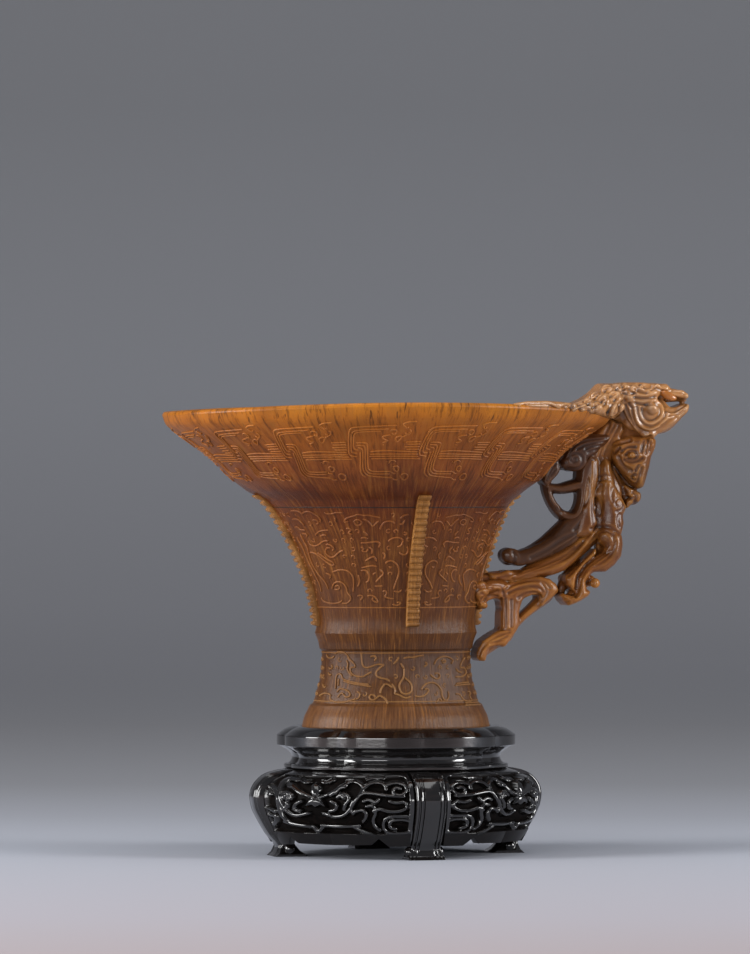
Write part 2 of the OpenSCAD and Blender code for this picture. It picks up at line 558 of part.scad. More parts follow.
// A point on an apron in the quarter between +X and +Y: way along it from the leg at +X, height
// share, and how far outside its middle surface
apron_end = leg_w / 2 + joint_gap;
function apron_point(t, s, out) =
    let (reach = column(apron_out_shares, s, 1))
    let (half_l = stand_l / 2 * reach - apron_t / 2)
    let (half_w = stand_w / 2 * reach - apron_t / 2)
    let (first = asin(apron_end / (half_w - apron_t)))
    let (last = 90 - asin(apron_end / (half_l - apron_t)))
    let (a = between(first, last, t))
    [(half_l * lobes(a) + out) * cos(a), (half_w * lobes(a) + out) * sin(a), s * leg_h - joint_gap];
function apron_out_way(t, s) = unit(apron_point(t, s, apron_t) - apron_point(t, s, 0));
module apron_strap(rows, mirrored) {
    fine = [for (r = smooth(rows, apron_strap_steps)) [mirrored ? 1 - r[0] : r[0], r[1], r[2], r[3]]];
    strap([for (r = fine) apron_point(r[0], r[1], 0)],
        [for (r = fine) r[2] * leg_h],
        [for (r = fine) r[3] * apron_t],
        [for (r = fine) apron_out_way(r[0], r[1])],
        apron_strap_sides);
}
// A solid band of the apron between two height shares, of which the lower may change along it
module apron_band(low_rows, high_share, depth_shares, end_share, steps) {
    edge = function(t) lookup(t > 0.5 ? 1 - t : t, low_rows);
    heights = function(t) [for (k = [0:steps]) between(edge(t), high_share, k / steps)];
    rings = [for (i = [0:apron_columns])
        let (t = between(end_share, 1 - end_share, i / apron_columns))
        let (up = heights(t))
        concat([for (s = up) apron_point(t, s, depth_shares[0] * apron_t)],
            [for (k = [steps:-1:0]) apron_point(t, up[k], depth_shares[1] * apron_t)])];
    ends = [for (t = [end_share, 1 - end_share])
        apron_point(t, (edge(t) + high_share) / 2, (depth_shares[0] + depth_shares[1]) / 2 * apron_t)];
    skin(rings, ends[0], ends[1]);
}
module apron_flower() {
    for (i = [0:petal_count - 1]) {
        a = 360 * i / petal_count;
        hull() for (k = [petal_root_share, 1], out = [-1, 1])
            translate(apron_point(
                flower_share[0] + petal_reach_shares[0] * k * cos(a),
                flower_share[1] + petal_reach_shares[1] * k * sin(a),
                out * petal_depth_share * apron_t))
                sphere(r = petal_round_share * leg_h, $fn = petal_facets);
    }
}
module apron() {
    color(blackwood) {
        apron_band(apron_edge_shares, apron_band_share, [-0.5, 0.5], 0, apron_band_steps);
        apron_band([[0, apron_rail_share], [0.5, apron_rail_share]], 1, [-0.5, 0.5], 0, apron_band_steps);
        apron_band([for (t = [0, 0.5]) [t, apron_ground_height_shares[0]]], apron_ground_height_shares[1],
            apron_ground_depth_shares, apron_ground_end_share, apron_ground_steps);
        apron_flower();
        for (mirrored = [false, true]) {
            apron_strap(vine_shares, mirrored);
            apron_strap(curl_shares, mirrored);
            apron_strap(fret_shares, mirrored);
            apron_strap(stile_shares, mirrored);
        }
    }
}
module apron_back_right() { apron(); }
module apron_back_left() { mirror([1, 0, 0]) apron(); }
module apron_front_left() { mirror([1, 0, 0]) mirror([0, 1, 0]) apron(); }
module apron_front_right() { mirror([0, 1, 0]) apron(); }

placed() stand_board();
placed() stand_waist();
placed() stand_collar();
placed() leg_right();
placed() leg_back();
placed() leg_left();
placed() leg_front();
placed() apron_back_right();
placed() apron_back_left();
placed() apron_front_left();
placed() apron_front_right();
placed() cup_body();
placed() flange_right();
placed() flange_back();
placed() flange_left();
placed() flange_front();
placed() handle_root();
placed() handle_tail();
placed() handle_branch();
placed() handle_haunch();
placed() handle_trunk();
placed() handle_ring();
placed() handle_leaf();
placed() lower_dragon_head();
placed() rim_dragon_body();
placed() rim_dragon_head();
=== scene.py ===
"""Horn drinking cup with a dragon handle on its carved stand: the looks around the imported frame."""
import math

import bmesh
import bpy
import numpy as np
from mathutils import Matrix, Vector
from mathutils.bvhtree import BVHTree


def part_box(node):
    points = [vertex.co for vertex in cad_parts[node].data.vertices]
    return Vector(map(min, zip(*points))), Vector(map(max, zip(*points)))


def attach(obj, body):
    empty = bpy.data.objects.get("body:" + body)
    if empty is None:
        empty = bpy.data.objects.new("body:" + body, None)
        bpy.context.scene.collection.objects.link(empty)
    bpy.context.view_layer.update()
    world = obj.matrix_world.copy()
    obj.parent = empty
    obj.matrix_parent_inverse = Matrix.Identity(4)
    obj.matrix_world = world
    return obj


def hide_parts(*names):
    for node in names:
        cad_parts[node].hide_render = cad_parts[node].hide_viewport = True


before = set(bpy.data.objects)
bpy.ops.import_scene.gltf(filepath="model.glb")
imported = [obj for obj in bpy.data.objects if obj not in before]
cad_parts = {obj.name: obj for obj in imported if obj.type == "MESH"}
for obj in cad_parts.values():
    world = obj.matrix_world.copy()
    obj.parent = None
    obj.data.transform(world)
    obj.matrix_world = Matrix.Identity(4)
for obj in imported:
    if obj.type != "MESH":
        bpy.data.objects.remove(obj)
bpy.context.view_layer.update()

MM = 0.001
board_low, board_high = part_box("stand_board")
axis_x = (board_low.x + board_high.x) / 2 / MM

# The photograph: its frame, where the cup's axis and eye level are in it, and how far away the eye is
PHOTO_W = 750
PHOTO_H = 954
FOCAL_PX = 6500
AXIS_PX = 396
EYE_PY = 477
EYE_Z = 121.4
EYE_AWAY = 2080
EYE_TURN = math.radians(16)
SENSOR_MM = 36
sight_way = np.array([math.sin(EYE_TURN), math.cos(EYE_TURN), 0])
across_way = np.array([math.cos(EYE_TURN), -math.sin(EYE_TURN), 0])
up_way = np.array([0, 0, 1])
eye_off = (AXIS_PX - PHOTO_W / 2) / FOCAL_PX * EYE_AWAY
eye = -EYE_AWAY * sight_way - eye_off * across_way + EYE_Z * up_way

# Sizes of the cup and stand in millimetres
CUP_Z = 40.7
CUP_H = 104
MOUTH_L = 146.6
MOUTH_W = 105.6
FOOT_L = 61.2
FOOT_W = 45.4
STEM_L = 48.4
STEM_W = 33.9
MOUTH_SHIFT = 2.6
LIP_WAVE = 2.6
WALL = 2.2
BOWL_DEPTH = 68
FOOT_HOLLOW = 3
FOOT_RING = 5
STEM_SHARE = 0.226
FLANGE_HIGH = 0.722
BOARD_L = 77.4
BOARD_W = 68
COLLAR_Z = 28.6
COLLAR_T = 1.4
WAIST_Z = 30
WAIST_H = 5.6
BOARD_Z = 35.6
BOARD_T = 6.3
SEAT_DEPTH = 1.3
SEAT_CLEARANCE = 0.4

# The cup's outline. A row is height share, then the share of the spread from the stem to the foot or
# to the mouth along the length and along the width, then the share of the mouth's lean.
FOOT_ROWS = [
    [0, 0.97, 0.97, 0], [0.012, 1, 1, 0], [0.041, 0.88, 0.88, 0], [0.065, 0.69, 0.69, 0],
    [0.076, 0.61, 0.61, 0], [0.084, 0.42, 0.42, 0], [0.118, 0.27, 0.27, 0], [0.173, 0.05, 0.05, 0],
    [0.226, 0, 0, 0]]
FLARE_ROWS = [
    [0.226, 0, 0, 0], [0.244, 0.002, 0.002, 0], [0.250, 0.015, 0.015, 0], [0.272, 0.024, 0.024, 0],
    [0.298, 0.046, 0.044, 0], [0.312, 0.038, 0.0365, 0], [0.332, 0.0345, 0.0335, 0],
    [0.367, 0.045, 0.043, 0], [0.435, 0.077, 0.075, 0],
    [0.484, 0.1, 0.11, 0.3], [0.534, 0.14, 0.16, 0.45], [0.583, 0.183, 0.212, 0.6],
    [0.632, 0.236, 0.277, 0.8], [0.681, 0.295, 0.345, 1], [0.706, 0.34, 0.392, 1.08],
    [0.716, 0.372, 0.423, 1.12], [0.735, 0.43, 0.475, 1.3], [0.78, 0.544, 0.585, 1.25],
    [0.829, 0.633, 0.668, 1.4], [0.878, 0.743, 0.765, 1.6], [0.927, 0.88, 0.885, 1.5],
    [0.958, 0.965, 0.965, 1.25], [0.987, 1, 1, 1]]
# Heights at which that outline turns sharply
FOOT_EDGES = [0.012, 0.076, 0.084]
FLARE_EDGES = [0.244, 0.250, 0.272, 0.298, 0.706, 0.735]
# Bowl: depth share, then the share of the half size that is left inside the wall
BOWL_ROWS = [
    [0.02, 1], [0.06, 0.985], [0.13, 0.965], [0.22, 0.945], [0.32, 0.925], [0.42, 0.92],
    [0.55, 0.89], [0.7, 0.825], [0.84, 0.71], [0.93, 0.53], [0.98, 0.34]]
CUP_SIDES = 192
CUP_STEP = 0.006
LIP_STEPS = 6
BOWL_STEPS = 60

# The stand's three mouldings: height share, then the share of the board's half size
BOARD_ROWS = [[0, 0.975], [0.05, 1], [0.56, 1], [0.63, 0.985], [0.86, 0.93], [1, 0.875]]
WAIST_ROWS = [[0, 0.905], [0.14, 0.885], [0.36, 0.872], [0.62, 0.886], [0.84, 0.93], [1, 0.968]]
COLLAR_ROWS = [[0, 0.925], [0.25, 0.94], [0.75, 0.94], [1, 0.925]]
# Each moulding: its rows, the heights at which they turn sharply, its foot, its height and its steps
MOULDINGS = {
    "board": (BOARD_ROWS, [0.05, 0.56, 0.63], BOARD_Z, BOARD_T, 24),
    "waist": (WAIST_ROWS, [], WAIST_Z, WAIST_H, 20),
    "collar": (COLLAR_ROWS, [], COLLAR_Z, COLLAR_T, 8)}
LOBE_DEPTH = 0.045
LOBE_ROUND = 0.8
STAND_SIDES = 256
# Rounded edges: their width in millimetres and the least angle in degrees of an edge that is rounded
STAND_EDGE = (0.16, 26)
FLANGE_EDGE = (0.22, 32)

# Legs and aprons. A row is a height share of the leg, then a share of the stand's half size.
STAND_L = 95.8
STAND_W = 83.4
LEG_H = 28.6
LEG_W = 10
LEG_OUT_ROWS = [
    [0, 0.856], [0.03, 0.866], [0.07, 0.84], [0.133, 0.829], [0.273, 0.891], [0.43, 0.948],
    [0.58, 0.99], [0.689, 1], [0.755, 0.994], [0.81, 0.98], [0.867, 0.955], [0.918, 0.92],
    [0.958, 0.87], [0.985, 0.80], [1, 0.735]]
LEG_IN_ROWS = [
    [0, 0.647], [0.04, 0.645], [0.09, 0.69], [0.157, 0.722], [0.28, 0.764], [0.455, 0.812],
    [0.63, 0.845], [0.77, 0.83], [0.87, 0.76], [0.92, 0.69], [0.95, 0.63], [1, 0.61]]
LEG_OUT_EDGES = [0.03, 0.07]
LEG_IN_EDGES = [0.04]
LEG_WIDE_EDGES = [0.05, 0.15]
LEG_STEPS = 56
# The banded face fades out towards the foot: the height share and reach of the fade, and what is left
LEG_FADE = (0.1, 0.06, 0.25)
# How far the corners of a leg's back are cut, along it and across it, in millimetres
LEG_CORNER = (0.4, 0.1, 0.6)
# Half width of a leg by height share, in millimetres
LEG_WIDE_ROWS = [[0, 5.9], [0.05, 6.0], [0.1, 5.2], [0.15, 4.9], [1, 4.9]]
# How far a leg's face lies back, by way out from its middle, in millimetres
LEG_FACE = [
    (0, 0), (1.6, 0.04), (2.3, 0.14), (2.5, 0.62), (2.75, 0.66), (2.95, 0.3), (3.2, 0.22), (3.45, 0.34),
    (3.62, 0.78), (3.9, 0.8), (4.15, 0.5), (4.4, 0.5), (4.65, 0.72), (4.85, 1.25)]
# A foot's scrolls: share of the stand's half size, height, radius and half width of the pair
FOOT_SCROLL = (0.765, 3.2, 1.75, 6.5)
SCROLL_FLAT = 0.9
APRON_OUT_ROWS = [
    [0.1, 0.845], [0.19, 0.872], [0.273, 0.90], [0.43, 0.945], [0.58, 0.978], [0.69, 0.985],
    [0.755, 0.975], [0.867, 0.935], [0.94, 0.86], [1, 0.765]]
APRON_EDGE_ROWS = [[0, 0.18], [0.13, 0.18], [0.19, 0.27], [0.24, 0.2], [0.5, 0.19]]
APRON_T = 3
JOINT_GAP = 0.1
# How far out an apron's back, its ground and its plain edges lie from its middle, in millimetres
APRON_BACK = -1.45
APRON_GROUND = -0.95
APRON_BAND = 0.75
APRON_COLUMNS = 210
APRON_LEVELS = 120
# Plain edges of an apron: below and above these height shares, with the reach of their fade, and within
# this share of its length from an end, with the reach of that fade
APRON_PLAIN = (0.35, 0.93)
APRON_FADE = 0.03
APRON_END = (0.03, 0.008)
# Below this height share the wood is duller, by this factor
APRON_DULL = (0.33, 0.45)
# The carving of the apron to the left of the front leg: lines and filled shapes in the view's pixels.
# A line has its half width, a shape the width of its slope, and then how high it stands in millimetres.
APRON_VIEW = (235, 715, 4.978)
APRON_STEP = 10
APRON_LINE = (13, 2.0)
APRON_SHAPE = (22, 2.4)
APRON_LINES = [
    [(232, 288), (400, 292), (600, 290), (800, 292), (850, 302), (876, 330), (888, 380), (890, 470),
     (884, 560), (868, 590), (740, 592), (738, 505), (860, 505)],
    [(866, 528), (838, 520), (772, 524), (766, 562), (800, 568)],
    [(365, 490), (310, 505), (262, 480), (232, 430), (222, 380), (238, 335), (272, 312), (312, 322)],
    [(140, 345), (172, 342), (200, 362), (216, 400), (222, 450), (236, 500), (270, 530)],
    [(150, 462), (188, 468), (205, 480)], [(168, 500), (205, 498), (216, 520), (200, 545)],
    [(160, 582), (214, 584)], [(160, 372), (182, 372), (178, 392)],
    [(445, 490), (500, 510), (550, 500), (585, 455), (610, 410), (640, 385), (700, 392), (760, 402),
     (840, 405)],
    [(560, 330), (600, 325), (632, 345), (638, 372), (620, 400)],
    [(640, 365), (668, 340), (712, 330), (748, 345), (752, 370)],
    [(752, 350), (790, 334), (838, 340), (858, 368), (840, 398), (800, 400), (782, 378), (800, 358),
     (822, 366)],
    [(690, 480), (720, 465), (760, 482), (820, 482), (858, 462), (852, 440)],
    [(640, 430), (668, 418), (700, 440), (716, 420)], [(600, 480), (640, 470), (660, 500), (640, 530)],
    [(255, 530), (300, 546), (392, 556)], [(436, 550), (520, 556), (622, 552)],
    [(245, 412), (240, 392), (262, 382), (290, 395), (286, 416), (264, 420)],
    [(512, 408), (535, 388), (566, 398), (570, 425), (548, 446), (545, 470)],
    [(300, 360), (345, 392), (395, 412)], [(520, 362), (470, 395), (415, 412)],
    [(655, 455), (690, 448), (704, 490), (684, 525), (700, 560), (722, 574)],
    [(600, 560), (640, 580), (700, 600)], [(400, 560), (420, 585), (440, 560)],
    [(330, 430), (304, 444), (296, 470), (326, 478)], [(480, 430), (512, 446), (504, 474), (474, 478)],
    [(330, 318), (350, 336), (372, 330)], [(440, 330), (462, 338), (490, 318)],
    [(770, 430), (800, 440), (836, 432)], [(590, 430), (572, 470), (590, 490)],
    [(250, 470), (270, 455), (262, 436)], [(660, 318), (690, 308), (740, 312)]]
APRON_SHAPES = [
    [(405, 333), (384, 350), (380, 385), (396, 406), (416, 406), (431, 380), (426, 348)],
    [(396, 408), (372, 420), (350, 458), (385, 448), (404, 462), (430, 448), (460, 464), (440, 424),
     (418, 408)],
    [(262, 345), (275, 328), (300, 340), (318, 362), (340, 380), (372, 400), (340, 404), (312, 388),
     (290, 368), (268, 362)],
    [(570, 332), (545, 336), (520, 350), (490, 372), (455, 400), (480, 410), (510, 394), (530, 372),
     (556, 366), (566, 350)],
    [(240, 398), (250, 388), (268, 388), (278, 402), (266, 414), (248, 412)],
    [(520, 402), (536, 394), (556, 402), (556, 422), (540, 424)]]

# Relief lines, read off three enlarged views of the photograph. Each view has its left and top pixel
# and its enlargement, and the lines are in the view's own pixels.
UPPER_VIEW = (285, 400, 6.672)
UPPER_LINES = [
    [(748, 168), (600, 174), (470, 180), (438, 188), (425, 212), (425, 345), (434, 372), (484, 377)],
    [(690, 192), (560, 196), (482, 202), (454, 209), (441, 230), (441, 338), (450, 352), (484, 354)],
    [(640, 207), (545, 210), (484, 214), (464, 222), (457, 240), (457, 318), (468, 330), (492, 332)],
    [(474, 284), (530, 284), (549, 291), (552, 316), (552, 446), (562, 468), (590, 478), (704, 476)],
    [(474, 300), (520, 301), (534, 311), (536, 338), (536, 452), (548, 478), (576, 494), (698, 492)],
    [(484, 317), (508, 319), (519, 332), (520, 360), (520, 460), (534, 490), (562, 508), (712, 518)],
    [(502, 345), (503, 365), (503, 468), (512, 496), (540, 514)],
    [(410, 281), (308, 286)], [(412, 297), (318, 300)], [(412, 314), (316, 318)],
    [(418, 331), (330, 333)],
    [(566, 345), (640, 336), (760, 340), (886, 345)], [(562, 360), (886, 360)],
    [(562, 375), (760, 373), (888, 376)], [(574, 392), (760, 388), (900, 392)],
    [(700, 207), (715, 196), (738, 197), (747, 213), (735, 230), (712, 223)],
    [(708, 232), (672, 236), (645, 246), (660, 262), (694, 272), (650, 284)],
    [(735, 262), (745, 280), (765, 265), (784, 242), (762, 238), (738, 250), (735, 262)],
    [(784, 162), (820, 145), (882, 143)], [(790, 166), (814, 192), (826, 176)],
    [(800, 216), (816, 234), (846, 210), (832, 196)], [(780, 246), (812, 232)],
    [(690, 424), (700, 404), (722, 400), (740, 412)],
    [(722, 448), (740, 436), (760, 450), (752, 474), (730, 474), (722, 448)],
    [(772, 500), (795, 486), (818, 500), (815, 526), (790, 534), (770, 520), (772, 500)],
    [(712, 520), (730, 532), (752, 530)], [(704, 478), (722, 490), (738, 488)],
    [(676, 410), (684, 412)], [(652, 297), (660, 299)]]
CENTRE_VIEW = (290, 485, 7.127)
CENTRE_LINES = [
    [(2, 186), (40, 180), (75, 192), (90, 205), (105, 190), (140, 188), (175, 205), (205, 225),
     (222, 250), (215, 268)],
    [(160, 250), (182, 246), (205, 258), (204, 276), (186, 276)], [(36, 212), (46, 212)],
    [(118, 215), (126, 216)], [(15, 245), (50, 240), (80, 262), (105, 290)],
    [(245, 195), (265, 205), (300, 205), (330, 195), (378, 198)], [(320, 232), (326, 266)],
    [(34, 300), (58, 298), (72, 318), (110, 322)], [(86, 345), (128, 348), (118, 372)],
    [(385, 262), (400, 236), (440, 225), (490, 207), (520, 218), (560, 215), (590, 222), (642, 232)],
    [(455, 262), (470, 246), (500, 248), (515, 268), (500, 286), (470, 286), (455, 262)],
    [(482, 265), (492, 266)], [(520, 240), (545, 250), (562, 264), (590, 298), (610, 275), (632, 255)],
    [(420, 260), (385, 264)], [(400, 312), (415, 305), (440, 318), (410, 345), (446, 350)],
    [(520, 330), (545, 345), (550, 364)], [(785, 240), (800, 222), (830, 210), (846, 212)],
    [(780, 280), (805, 276), (820, 245)], [(640, 320), (655, 280), (680, 258), (730, 258), (748, 276)],
    [(810, 340), (826, 334), (834, 348), (822, 358), (810, 350)],
    [(180, 360), (200, 335), (235, 322), (276, 322)], [(215, 366), (246, 352), (262, 362)],
    [(130, 395), (145, 425), (175, 435), (205, 428), (235, 400), (276, 396)],
    [(255, 425), (275, 420), (305, 435), (315, 455), (300, 470)],
    [(290, 448), (264, 446), (250, 470), (266, 500), (300, 518), (322, 508), (345, 480), (382, 464)],
    [(140, 482), (165, 478), (200, 498), (235, 526), (270, 556), (305, 576), (319, 562), (300, 545),
     (265, 528), (228, 502), (196, 480)],
    [(505, 412), (560, 412), (620, 400), (646, 418), (630, 446)],
    [(505, 440), (530, 455), (510, 472), (550, 476), (556, 455)],
    [(700, 402), (718, 382), (760, 372), (795, 380), (806, 400), (790, 435), (764, 440)],
    [(780, 480), (800, 498), (830, 495), (845, 470), (836, 436)],
    [(535, 542), (560, 525), (600, 505), (618, 545)], [(560, 440), (590, 462), (580, 492)],
    [(680, 562), (690, 545), (720, 538), (755, 555), (776, 590), (775, 640), (755, 690), (738, 742)],
    [(704, 580), (714, 592), (726, 580)], [(510, 590), (555, 580), (590, 574), (620, 582)],
    [(50, 370), (65, 395), (90, 440), (110, 490), (140, 560), (165, 610), (190, 660), (215, 710),
     (225, 762)],
    [(75, 350), (100, 400), (125, 440), (130, 470), (150, 540), (180, 600), (215, 650), (255, 690),
     (275, 742)],
    [(300, 622), (340, 606), (390, 603), (430, 620), (455, 660), (455, 720), (450, 762)],
    [(255, 628), (296, 640), (282, 668)],
    [(300, 742), (310, 702), (340, 686), (380, 696), (405, 730), (410, 770), (432, 790), (435, 820),
     (404, 846), (370, 842)],
    [(320, 722), (345, 714), (360, 734), (340, 748), (318, 742)],
    [(225, 800), (240, 830), (280, 842), (320, 846), (360, 836), (376, 820)],
    [(505, 610), (540, 604), (565, 640), (560, 690), (538, 692)], [(488, 640), (500, 690), (480, 726)],
    [(640, 600), (670, 630), (640, 660), (610, 692)], [(604, 722), (662, 720)],
    [(480, 792), (510, 784), (520, 802), (500, 822)],
    [(550, 792), (580, 784), (610, 800), (632, 842), (600, 830), (584, 814), (596, 800)],
    [(660, 760), (680, 750), (692, 774), (670, 800), (740, 812)], [(740, 756), (780, 766), (796, 744)],
    [(730, 850), (770, 862), (796, 834), (760, 838)], [(505, 380), (530, 372), (556, 384)],
    [(590, 640), (610, 622)], [(660, 480), (680, 500), (668, 530)]]
LOWER_VIEW = (295, 630, 7.84)
LOWER_LINES = [
    [(855, 300), (855, 368), (834, 400), (815, 430), (822, 470), (842, 500), (880, 505), (915, 485),
     (921, 442), (900, 405), (872, 386), (858, 372)],
    [(780, 500), (820, 510), (850, 530), (880, 536), (908, 520)],
    [(690, 430), (720, 424), (750, 440), (768, 456)],
    [(668, 500), (672, 466), (690, 440), (705, 430)],
    [(726, 582), (716, 550), (692, 526), (660, 514), (638, 535), (615, 552), (590, 546), (580, 520),
     (600, 505), (626, 514), (630, 534)],
    [(990, 470), (1004, 440), (1040, 415), (1090, 411), (1130, 440), (1150, 480), (1150, 520),
     (1170, 552), (1196, 550), (1206, 512), (1198, 480)],
    [(940, 520), (990, 526), (1030, 505), (1052, 470), (1030, 458), (1014, 470)],
    [(770, 270), (800, 240), (814, 212)], [(850, 225), (886, 212), (920, 218), (960, 206), (1008, 198)],
    [(828, 260), (846, 290), (856, 300)],
    [(700, 272), (662, 300), (636, 328), (634, 356), (660, 375), (720, 386), (744, 402)],
    [(520, 180), (524, 230), (530, 282), (560, 300), (600, 286), (650, 268), (702, 274)],
    [(590, 212), (620, 200), (642, 224), (620, 240)],
    [(410, 215), (440, 240), (470, 268), (474, 294), (446, 290), (430, 312), (446, 345), (480, 364),
     (530, 370), (562, 350), (602, 328)],
    [(404, 236), (420, 268), (408, 300), (424, 334), (452, 364)],
    [(310, 188), (340, 171), (390, 174), (412, 198), (430, 226)],
    [(250, 188), (256, 216), (290, 222), (312, 204)], [(265, 290), (280, 310), (300, 292), (284, 268)],
    [(262, 330), (276, 356), (290, 344)], [(220, 420), (230, 456), (246, 440)],
    [(320, 462), (322, 400), (326, 352), (346, 343), (370, 350), (371, 384), (430, 404), (500, 420),
     (580, 428)],
    [(340, 440), (344, 380)], [(376, 400), (440, 420), (520, 432), (600, 446)],
    [(190, 522), (215, 500), (250, 494), (286, 510), (270, 540), (310, 564), (370, 571), (430, 556),
     (482, 540)],
    [(330, 490), (350, 458), (390, 464), (430, 488), (436, 518), (402, 530), (384, 510), (370, 490),
     (350, 508), (336, 532)],
    [(488, 482), (512, 500), (502, 530), (480, 546)],
    [(1090, 272), (1108, 230), (1160, 204), (1210, 214), (1242, 240), (1222, 266)],
    [(1144, 246), (1160, 232), (1184, 240), (1170, 258), (1150, 254)],
    [(1060, 350), (1090, 376), (1120, 386), (1138, 360), (1120, 335), (1094, 345)],
    [(1256, 368), (1320, 366), (1344, 330), (1322, 290), (1292, 300), (1300, 260), (1330, 212)],
    [(1258, 300), (1280, 330), (1310, 330)], [(1260, 420), (1362, 408)], [(1250, 436), (1370, 424)],
    [(1256, 502), (1290, 500), (1310, 540), (1340, 560), (1392, 555), (1362, 520), (1376, 490),
     (1350, 480)],
    [(1330, 592), (1452, 584)], [(1330, 574), (1440, 566)], [(1110, 570), (1130, 530), (1150, 560)],
    [(1020, 250), (1040, 270), (1010, 290)], [(760, 420), (790, 470), (780, 500)]]
# Plain raised lines all round the cup, as height shares
REGISTER_RINGS = [0.3775, 0.2385, 0.0905]
TOP_RING = 0.6835
RING_POINTS = 181
# The upper band's lines are one unit of so many; a line's points are this many photo pixels apart
UPPER_UNITS = 16
LINE_STEP = 0.8
# Steps of turn and of height share that tell which way the cup's face looks
NUDGE_TURN = 0.004
NUDGE_SHARE = 0.002
# Rounds that find a place's height share on the cup, whose lip dips
SHARE_ROUNDS = 4
# A line whose ends are within this many millimetres is a ring
CLOSED_WITHIN = 0.05
TINY = 1e-9
# A raised line's section: shares of its width and of its height. It is sunk that deep in millimetres,
# and an open line ends at that share of its size.
RIB_TOP = [(-0.34, 0.72), (0, 1), (0.34, 0.72)]
RIB_SUNK = 0.12
RIB_END = 0.35
# Small curls fill the ground of two bands of height shares: how far apart they are and how big, their
# scatter, the angle they wind through, how far they draw in, and how far from the lines they keep
CENTRE_BAND = (0.39, 0.675)
LOWER_BAND = (0.1, 0.232)
CENTRE_SEED = 7
LOWER_SEED = 11
FILL_SPACING = 2.7
FILL_RADIUS = 0.85
FILL_SCATTER = 0.15
FILL_WIND = 5.2
FILL_DRAWN_IN = 0.72
FILL_POINTS = 10
FILL_KEEP_OFF = 1.0

